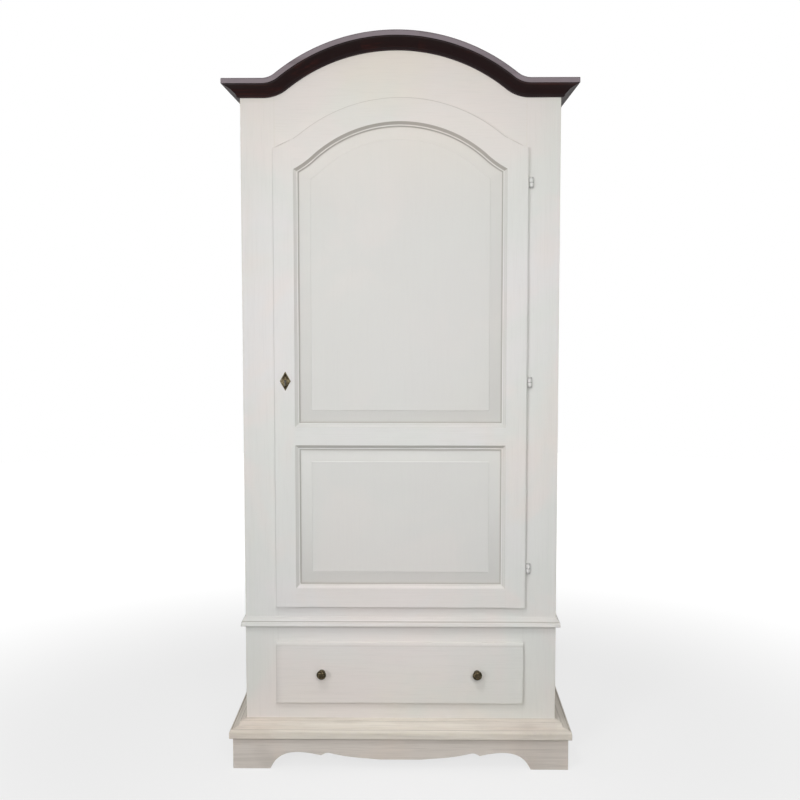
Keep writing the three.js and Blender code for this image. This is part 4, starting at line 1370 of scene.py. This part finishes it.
class BuildFront(bpy.types.Operator):
    """Makes the front frame: two stiles and three rails"""

    bl_idname = "bonnetiere.front"
    bl_label = "Front frame"

    def execute(self, context):
        band = settings("edges").band
        joint_reach = high("front_stile_right").x - band
        planed("front_stile_left", "cream_upright", joint_reach)
        planed("front_stile_right", "cream_upright", joint_reach, hinge_cuts(band))
        planed("bottom_rail", "cream_across", joint_reach)
        planed("waist_rail", "cream_across", joint_reach)
        piece(frieze_rail(), "frieze_rail", "cream_across")
        return {"FINISHED"}


# Cornice


CORNICE_SHARES = (  # outwards and down, as shares of its depth and height, with wear: above 0 a painted sheen on the nose and the cove's lower end, below 0 painted shade in the quirks and under the nose
    [(0, 1, 0), (0.08, 1, -0.6)]
    + spline([(0.08, 1, -0.4), (0.14, 0.985, 0.25), (0.19, 0.93, 0)], 3)[1:]
    + [(0.19, 0.875, -1)]
    + spline(
        [
            (0.22, 0.85, 0.1),
            (0.24, 0.8, 0),
            (0.34, 0.71, 0),
            (0.5, 0.56, 0),
            (0.66, 0.46, 0),
            (0.84, 0.37, 0.1),
            (0.93, 0.34, 0.3),
        ],
        3,
    )
    + [(0.93, 0.3, -0.6), (0.995, 0.3, 0), (1, 0.29, 1), (1, 0.06, 1), (0.985, 0, 0.2)]
    + [(0.9, 0, 0), (0, 0, 0)]
)


def cornice_section():
    """Outwards, down and wear of each point of the cornice's section"""
    depth = low("front_stile_left").y - low("cornice_front_left").y
    height = high("cornice_return_left").z - low("cornice_return_left").z
    return [(u * depth, v * height, wear) for u, v, wear in CORNICE_SHARES]


def cornice_side(side, seam):
    """From a front corner along the flat end and the fillet, up the arch to a joint"""
    bend = Bend()
    count = settings("edges").arc_steps
    face = low("front_stile_left").y
    half = high("front_stile_right").x
    section = cornice_section()
    wear = [w for _, _, w in section]
    start = [Vector((side * (half + out), face - out, bend.flat - down)) for out, down, _ in section]
    sweep = Sweep(start, wear)
    fillet = bend.fillet_centre(side)
    sweep.shift(lambda p: Vector((fillet.x, p.y, p.z)))
    sweep.turn((fillet.x, 0, fillet.y), side * bend.sweep, count // 3)
    climb = bend.sweep * (1 - abs(seam))
    sweep.turn((bend.centre.x, 0, bend.centre.y), -side * climb, round(count * (1 - abs(seam))))
    return sweep.close()


def cornice_centre(left_seam, right_seam):
    """The length between the two joints in the arch"""
    bend = Bend()
    face = low("front_stile_left").y
    section = cornice_section()
    radius = bend.sizes.crown_radius
    out_of = heading(left_seam * bend.sweep)
    start = []
    for out, down, _ in section:
        point = bend.centre + (radius - down) * out_of
        start.append(Vector((point.x, face - out, point.y)))
    sweep = Sweep(start, [w for _, _, w in section])
    between = right_seam - left_seam
    count = round(settings("edges").arc_steps * between)
    sweep.turn((bend.centre.x, 0, bend.centre.y), between * bend.sweep, count)
    return sweep.close()


def side_return(section, side, height, back):
    """A moulding's length along one side, mitred at the front corner"""
    face = low("front_stile_left").y
    half = high("front_stile_right").x
    start = [Vector((side * (half + out), face - out, height + up)) for out, up, _ in section]
    sweep = Sweep(start, [wear for _, _, wear in section])
    sweep.shift(lambda p: Vector((p.x, back, p.z)))
    return sweep.close()


def front_length(section, height):
    """A moulding's length along the front, mitred at both corners"""
    face = low("front_stile_left").y
    half = high("front_stile_right").x
    start = [Vector((-half - out, face - out, height + up)) for out, up, _ in section]
    sweep = Sweep(start, [wear for _, _, wear in section])
    sweep.shift(lambda p: Vector((-p.x, p.y, p.z)))
    return sweep.close()


class BuildCornice(bpy.types.Operator):
    """Makes the cornice: three lengths in front and a return on each side"""

    bl_idname = "bonnetiere.cornice"
    bl_label = "Cornice"

    def execute(self, context):
        sizes = settings("cornice")
        pieces = {
            "cornice_front_left": cornice_side(-1, sizes.left_seam),
            "cornice_front_right": cornice_side(1, sizes.right_seam),
            "cornice_front_centre": cornice_centre(sizes.left_seam, sizes.right_seam),
        }
        hung = [(out, -down, wear) for out, down, wear in cornice_section()]
        back = high("side_frame_left").y
        for side, name in ((-1, "cornice_return_left"), (1, "cornice_return_right")):
            pieces[name] = side_return(hung, side, Bend().flat, back)
        for name, shell in pieces.items():
            piece(shell, name, "walnut")
        return {"FINISHED"}


# Mouldings at the waist and the plinth


# Outwards and up, as shares of a moulding's depth and height, with wear: below 0 painted shade in the
# quirks and under the noses, and painted shade on the ramps that dims the light they catch from above;
# above 0 rubs
WAIST_SHARES = (
    [(0, 0, -1), (0.9, 0, -0.5)]
    + spline([(0.97, 0.01, 0), (1, 0.06, 0.2), (0.98, 0.2, 0.3), (0.93, 0.38, 0), (0.9, 0.43, 0)], 3)
    + [(0.7, 0.46, -0.7), (0.68, 0.58, -0.5)]
    + spline([(0.64, 0.6, -0.1), (0.5, 0.72, -0.3), (0.3, 0.83, -0.3), (0.2, 0.96, -0.1)], 3)
    + [(0.19, 1, -0.2), (0, 1, -1)]
)
PLINTH_SHARES = (
    [(0.975, 0, -0.6), (1, 0.02, 0.2), (1, 0.32, 0.7)]
    + spline([(0.995, 0.37, 0.8), (0.957, 0.45, 0.6), (0.905, 0.5, 0.3), (0.87, 0.515, -0.4)], 3)
    + [(0.837, 0.494, -1), (0.815, 0.52, -0.5), (0.79, 0.538, 0.5)]
    + spline([(0.522, 0.605, 0), (0.45, 0.65, -0.3), (0.4, 0.74, 0), (0.37, 0.867, 0.2)], 3)
    + [(0.365, 0.885, -0.6), (0.33, 0.885, -0.6), (0.32, 0.9, 0.3), (0.109, 0.945, 0)]
    + [(0.08, 0.96, 0.3), (0.065, 1, -0.6)]
)


def scaled(shares, across, up):
    return [(u * across, v * up, wear) for u, v, wear in shares]


class BuildMouldings(bpy.types.Operator):
    """Makes the waist moulding and the plinth's moulding, each in three lengths"""

    bl_idname = "bonnetiere.mouldings"
    bl_label = "Waist and plinth mouldings"

    def execute(self, context):
        face = low("front_stile_left").y
        back = high("side_frame_left").y
        waist_low, waist_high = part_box("waist_moulding_front")
        waist = scaled(WAIST_SHARES, face - waist_low.y, waist_high.z - waist_low.z)
        plinth_low, plinth_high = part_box("plinth_moulding_front")
        tall = plinth_high.z - plinth_low.z
        sizes = settings("plinth")
        seat = tall - sizes.seat_depth
        inner = settings("door").fit
        plinth = (
            [(-sizes.seat_width, 0, 0)]
            + scaled(PLINTH_SHARES, face - plinth_low.y, tall)
            + [(inner, tall, 0), (inner, seat, 0), (-sizes.seat_width, seat, 0)]
        )
        groups = [
            ("waist_moulding", waist, waist_low.z, "cream_across", "cream_deep"),
            ("plinth_moulding", plinth, plinth_low.z, "plinth_across", "plinth_deep"),
        ]
        for name, section, height, across, deep in groups:
            piece(front_length(section, height), name + "_front", across)
            piece(side_return(section, -1, height, back), name + "_left", deep)
            piece(side_return(section, 1, height, back), name + "_right", deep)
        return {"FINISHED"}


# Plinth


# From the opening's middle and up, as shares of its half width and its rise
SCALLOP_OUTER_SHARES = [
    (1, 0),
    (0.965, 0.45),
    (0.92, 0.75),
    (0.86, 0.94),
    (0.78, 1),
    (0.69, 0.93),
    (0.609, 0.805),
]
SCALLOP_INNER_SHARES = [
    (0.609, 0.805),
    (0.561, 0.957),
    (0.5, 0.87),
    (0.42, 0.755),
    (0.33, 0.675),
    (0.24, 0.62),
    (0.15, 0.565),
]


def scallop(centre, half):
    """The apron's lower edge from the left foot to the right one"""
    rise = settings("plinth").scallop_rise
    shares = spline(SCALLOP_OUTER_SHARES, 4) + spline(SCALLOP_INNER_SHARES, 4)[1:]
    left = [Vector((centre - u * half, v * rise)) for u, v in shares]
    right = [Vector((2 * centre - p.x, p.y)) for p in reversed(left)]
    return left + right


def apron(front, start, end, inner_start, inner_end, centre, half, top):
    """A board with a scalloped edge and mitred ends, drawn facing forwards"""
    thickness = settings("plinth").apron_thickness

    def ring(depth, first, last):
        outline = [(first, 0), *scallop(centre, half), (last, 0), (last, top), (first, top)]
        return [Vector((x, depth, z)) for x, z in outline]

    shell = lofted([ring(front, start, end), ring(front + thickness, inner_start, inner_end)])
    mark_wear(shell)
    edges = settings("edges")
    banded(shell, edges.band)
    rounded(shell, edges.arris)
    return shell


def front_apron():
    thickness = settings("plinth").apron_thickness
    corner_low, corner_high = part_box("apron_front")
    wide = corner_high.x
    half = wide - settings("plinth").foot_width
    inner = wide - thickness
    return apron(corner_low.y, -wide, wide, -inner, inner, 0, half, corner_high.z)


def side_apron(side):
    sizes = settings("plinth")
    corner_low, corner_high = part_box("apron_right")
    start = corner_low.y + sizes.foot_width
    end = corner_high.y - sizes.foot_width
    shell = apron(
        -corner_high.x,
        corner_low.y,
        corner_high.y,
        corner_low.y + sizes.apron_thickness,
        corner_high.y,
        (start + end) / 2,
        (end - start) / 2,
        corner_high.z,
    )
    moved(shell, Matrix.Rotation(math.pi / 2, 4, "Z"))
    if side < 0:
        tidied(moved(shell, Matrix.Diagonal((-1, 1, 1, 1))))
    return shell


class BuildPlinth(bpy.types.Operator):
    """Makes the three scalloped aprons and the rail behind them"""

    bl_idname = "bonnetiere.plinth"
    bl_label = "Plinth"

    def execute(self, context):
        piece(front_apron(), "apron_front", "apron_across")
        piece(side_apron(-1), "apron_left", "apron_deep")
        piece(side_apron(1), "apron_right", "apron_deep")
        planed("plinth_back_rail", "fir_across")
        return {"FINISHED"}


# Sides, back and inside


class BuildCase(bpy.types.Operator):
    """Finishes the sides, the back, the shelves and the drawer's runners"""

    bl_idname = "bonnetiere.case"
    bl_label = "Sides, back and shelves"

    def execute(self, context):
        for side in ("left", "right"):
            planed("side_frame_" + side, "cream_upright")
            planed("side_upper_panel_" + side, "cream_upright")
            planed("side_lower_panel_" + side, "cream_upright")
            planed("drawer_runner_" + side, "fir_deep")
        for name in ("cupboard_floor", "roof_board", "shelf_1", "shelf_2", "shelf_3"):
            planed(name, "fir_across")
        for number in (1, 2, 3):
            planed(f"back_board_{number}", "fir_upright")
        return {"FINISHED"}


# Drawer


# Outwards from a knob's axis and along it, as shares of its radius and reach, with wear
KNOB_SHARES = [
    (0.74, 0, -0.8),
    (0.74, 0.07, 0.5),
    (0.6, 0.12, -0.4),
    (0.38, 0.19, -1),
    (0.33, 0.36, -0.8),
    (0.44, 0.52, -0.5),
    (0.86, 0.62, 0),
    (1, 0.72, 0.8),
    (0.96, 0.84, 0.3),
    (0.74, 0.94, 0.1),
    (0.4, 0.99, 0.2),
    (0, 1, 0.3),
]
SCREW_WEAR = -0.5
KNOB_STEPS = 48

DRAWER_LINE_SHADE = -0.5  # painted shade along the line where the front's face turns back
DRAWER_TOP_SHADE = -0.1  # painted shade above that line, on the top edge, which catches light from above
DRAWER_END_WEAR = (-0.4, -0.3)  # at the left end, and one band from it


def knob(name):
    fittings = settings("fittings")
    corner_low, corner_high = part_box(name)
    radius = (corner_high.z - corner_low.z) / 2
    face = corner_high.y - fittings.screw_length
    reach = face - corner_low.y
    head = scaled(spline(KNOB_SHARES, 4), radius, reach)
    screw = [(0, -fittings.screw_length), (fittings.screw_radius, -fittings.screw_length)]
    screw.append((fittings.screw_radius, 0))
    profile = screw + [(u, v) for u, v, _ in head]
    wear = [SCREW_WEAR] * len(screw) + [w for _, _, w in head]
    middle = (corner_low + corner_high) / 2
    place = Matrix.Translation((middle.x, face, middle.z)) @ Matrix.Rotation(math.pi / 2, 4, "X")
    return moved(turned(profile, wear, KNOB_STEPS), place)


def drawer_front():
    """The front's own shape, with glaze along its left end and painted shade along its top edge"""
    edges = settings("edges")
    shell = copied("drawer_front")
    corner = low("drawer_front")
    mark_wear(shell)
    banded(shell, edges.band)
    cut_through(shell, (corner.x + edges.drawer_fade, 0, 0), (1, 0, 0))
    rounded(shell, edges.arris)
    worn = shell.verts.layers.float[WEAR]
    line = max(v.co.z for v in shell.verts if v.co.y < corner.y + 0.1 * edges.arris)
    for vert in shell.verts:
        across = vert.co.x - corner.x
        if abs(vert.co.z - line) < edges.arris:
            vert[worn] = DRAWER_LINE_SHADE
        elif vert.co.z > line:
            vert[worn] = DRAWER_TOP_SHADE
        elif across < edges.band / 2:
            vert[worn] = DRAWER_END_WEAR[0]
        elif across < edges.band * 1.5:
            vert[worn] = DRAWER_END_WEAR[1]
    return shell


class BuildDrawer(bpy.types.Operator):
    """Finishes the drawer and turns its two knobs"""

    bl_idname = "bonnetiere.drawer"
    bl_label = "Drawer"

    def execute(self, context):
        piece(drawer_front(), "drawer_front", "cream_across")
        for side in ("left", "right"):
            planed("drawer_side_" + side, "fir_deep")
            piece(knob("drawer_knob_" + side), "drawer_knob_" + side, "old_brass")
        planed("drawer_back", "fir_across")
        planed("drawer_bottom", "fir_deep")
        return {"FINISHED"}


# Hinges and lock


# Outwards and along, as shares of the barrel's radius, with wear
BARREL_END_SHARES = [(0, 0, 0), (0.66, 0, 0.4), (0.9, 0.18, 1), (1, 0.45, 0.8)]
BARREL_CHAMFER = 0.08  # at the seam, as a share of the radius
BARREL_STEPS = 36
SHANK_STEPS = 24


def barrel(bottom, top, middle):
    """Half a hinge's barrel, rounded at its outer end, as radius, height and wear"""
    radius = settings("fittings").knuckle_radius
    end, seam = (bottom, top) if abs(bottom - middle) > abs(top - middle) else (top, bottom)
    inward = 1 if seam > end else -1
    rounded_end = [(u * radius, end + inward * v * radius, wear) for u, v, wear in BARREL_END_SHARES]
    cut = radius * BARREL_CHAMFER
    straight = [(radius, (end + seam) / 2, 0.1), (radius, seam - inward * 2 * cut, 0)]
    # wear of -1 at the seam: painted shade between the halves
    return rounded_end + straight + [(radius - cut, seam, -1), (0, seam, -1)]


def shank(start, end):
    """A round screw from one point to the other"""
    along = end - start
    turn = along.to_track_quat("Z", "Y").to_matrix().to_4x4()
    matrix = Matrix.Translation((start + end) / 2) @ turn
    return cylinder(settings("fittings").shank_radius, along.length, matrix, SHANK_STEPS)


def hinge_half(name, on_door):
    """The frame's half has the lower barrel and the pin, and the door's half the upper barrel"""
    fittings = settings("fittings")
    radius = fittings.knuckle_radius
    kind = name.rsplit("_", 1)[-1]
    bottom = low("hinge_frame_half_" + kind).z
    top = high("hinge_door_half_" + kind).z
    middle = (bottom + top) / 2
    gap = settings("door").fit / 2
    corner_low, corner_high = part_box("hinge_frame_half_" + kind)
    axis = Vector((corner_low.x + radius, corner_low.y + radius, 0))
    if on_door:
        profile = barrel(middle + gap, top, middle)
        height = middle + fittings.shank_offset
        end = Vector((low(name).x, axis.y, height))
    else:
        profile = barrel(bottom, middle - gap, middle)
        height = middle - fittings.shank_offset
        end = Vector((axis.x, corner_high.y, height))
    wear = [w for _, _, w in profile]
    shell = turned([(r, z) for r, z, _ in profile], wear, BARREL_STEPS)
    moved(shell, Matrix.Translation(axis))
    start = Vector((axis.x, axis.y, height))
    shell = combined(shell, shank(start, end), "UNION")
    pin_low = Vector((axis.x, axis.y, middle - fittings.shank_offset))
    pin_high = Vector((axis.x, axis.y, middle + fittings.pin_reach))
    grown = gap * 2 if on_door else 0
    length = (pin_high - pin_low).length + grown
    matrix = Matrix.Translation((pin_low + pin_high) / 2)
    pin = cylinder(fittings.pin_radius + grown, length, matrix, SHANK_STEPS)
    return combined(shell, pin, "DIFFERENCE" if on_door else "UNION")


class BuildFittings(bpy.types.Operator):
    """Makes the hinges and finishes the escutcheon and the lock"""

    bl_idname = "bonnetiere.fittings"
    bl_label = "Hinges and lock"

    def execute(self, context):
        for kind in ("upper", "middle", "lower"):
            for name, on_door in (("hinge_frame_half_", False), ("hinge_door_half_", True)):
                piece(hinge_half(name + kind, on_door), name + kind, "painted_steel")
        escutcheon = copied("escutcheon")
        mark_wear(escutcheon)
        rounded(escutcheon, settings("edges").fine_arris)
        piece(escutcheon, "escutcheon", "old_brass")
        planed("lock_case", "dull_steel")
        planed("lock_bolt", "dull_steel")
        return {"FINISHED"}


# Stage


WHITE = (1, 1, 1)
LAMPS = {  # place, aim, size, power and tint
    "key": ((0.5, -3.5, 1.9), (0, -0.25, 1.7), 1.3, 48.0, (1.0, 0.99, 0.98)),
    "side": ((-2.4, -4.0, 1.3), (0, 0, 1.1), 1.6, 46.0, (0.97, 0.99, 1.0)),
    "low": ((-0.7, -2.2, 3.5), (0.2, -0.25, 0.3), 0.6, 2.2, (1.0, 0.99, 0.98)),
}
LOW_SPREAD = math.radians(46)
SENSOR_WIDTH = 36.0  # in millimetres
CAMERA_PLACE = (0.050, -3.783, 1.375)
CAMERA_TURN = (85.104, 0.02, 0.828)  # in degrees
FLOOR_STEPS = 96
FLOOR_FADE = (0.9, 2.6)  # distances from the middle between which the floor runs out to white


def area_light(name, place, aim, size, power, tint):
    light = bpy.data.lights.new(name, "AREA")
    light.shape = "DISK"
    light.size = size
    light.energy = power
    light.color = tint
    lamp = bpy.data.objects.new(name, light)
    lamp.location = place
    lamp.rotation_euler = (Vector(aim) - Vector(place)).to_track_quat("-Z", "Y").to_euler()
    bpy.context.scene.collection.objects.link(lamp)
    return light


def seen_directly(finish):
    """1 where the camera, a mirror or glass looks"""
    light_path = finish.node("ShaderNodeLightPath", None, None, "Is Camera Ray")
    node = light_path.socket.node
    glossy = Value(finish, node.outputs["Is Glossy Ray"])
    through = Value(finish, node.outputs["Is Transmission Ray"])
    return light_path.at_least(glossy).at_least(through)


def white_world(strength):
    """Even light all round, and pure white where it is seen"""
    world = bpy.data.worlds.new("studio")
    bpy.context.scene.world = world
    finish = Finish(world)
    even = finish.node("ShaderNodeBackground", None, {"Color": WHITE, "Strength": strength})
    white = finish.node("ShaderNodeBackground", None, {"Color": WHITE, "Strength": 1.0})
    mixed = finish.node("ShaderNodeMixShader", None, {0: seen_directly(finish), 1: even, 2: white})
    finish.node("ShaderNodeOutputWorld", None, {"Surface": mixed})


def floor_finish(stage):
    """Pale floor: it holds the shadow near the object and runs out to white"""
    finish = Finish(bpy.data.materials.new("floor"))
    grey = stage.floor_grey
    place = finish.node("ShaderNodeTexCoord", None, None, "Object")
    away = finish.node("ShaderNodeVectorMath", {"operation": "LENGTH"}, {0: place}, "Value")
    glow = finish.between(away, *FLOOR_FADE) * (1 - stage.floor_glow) + stage.floor_glow
    shade = finish.node("ShaderNodeCombineColor", None, {0: glow, 1: glow, 2: glow})
    plain = finish.node("ShaderNodeBsdfDiffuse", None, {"Color": (grey, grey, grey)})
    light = finish.node("ShaderNodeEmission", None, {"Color": shade, "Strength": 1.0})
    lifted = finish.node("ShaderNodeAddShader", None, {0: plain, 1: light})
    mixed = finish.node("ShaderNodeMixShader", None, {0: seen_directly(finish), 1: plain, 2: lifted})
    finish.node("ShaderNodeOutputMaterial", None, {"Surface": mixed})
    return finish.owner


class BuildStage(bpy.types.Operator):
    """Makes the floor, the studio light and the camera"""

    bl_idname = "bonnetiere.stage"
    bl_label = "Stage"

    def execute(self, context):
        stage = settings("stage")
        shell = bmesh.new()
        radius = stage.floor_radius
        bmesh.ops.create_circle(shell, cap_ends=True, segments=FLOOR_STEPS, radius=radius)
        mesh = bpy.data.meshes.new("floor")
        shell.to_mesh(mesh)
        shell.free()
        floor = bpy.data.objects.new("floor", mesh)
        mesh.materials.append(floor_finish(stage))
        context.scene.collection.objects.link(floor)
        white_world(stage.sky)
        lights = {name: area_light(name, *lamp) for name, lamp in LAMPS.items()}
        lights["low"].spread = LOW_SPREAD
        lens = bpy.data.cameras.new("camera")
        lens.lens = stage.lens
        lens.sensor_width = SENSOR_WIDTH
        camera = bpy.data.objects.new("camera", lens)
        camera.location = CAMERA_PLACE
        camera.rotation_euler = [math.radians(angle) for angle in CAMERA_TURN]
        context.scene.collection.objects.link(camera)
        context.scene.camera = camera
        context.scene.view_settings.view_transform = "Standard"
        return {"FINISHED"}


OPERATORS = [
    BuildFront,
    BuildDoor,
    BuildCornice,
    BuildMouldings,
    BuildPlinth,
    BuildCase,
    BuildDrawer,
    BuildFittings,
    BuildStage,
]


class BonnetierePanel(bpy.types.Panel):
    """Lists the steps and the sizes"""

    bl_idname = "VIEW3D_PT_bonnetiere"
    bl_label = "Bonnetiere"
    bl_space_type = "VIEW_3D"
    bl_region_type = "UI"
    bl_category = "Bonnetiere"

    def draw(self, context):
        for operator in OPERATORS:
            self.layout.operator(operator.bl_idname)
        for name, group in SETTINGS.items():
            box = self.layout.box()
            for field in group.__annotations__:
                box.prop(getattr(context.scene, name), field)


def register():
    for name, group in SETTINGS.items():
        bpy.utils.register_class(group)
        setattr(bpy.types.Scene, name, PointerProperty(type=group))
    for made in [*OPERATORS, BonnetierePanel]:
        bpy.utils.register_class(made)


def unregister():
    for made in [BonnetierePanel, *reversed(OPERATORS)]:
        bpy.utils.unregister_class(made)
    for name, group in SETTINGS.items():
        delattr(bpy.types.Scene, name)
        bpy.utils.unregister_class(group)


def main():
    register()
    for operator in OPERATORS:
        category, name = operator.bl_idname.split(".")
        getattr(getattr(bpy.ops, category), name)()


if __name__ == "__main__":
    main()
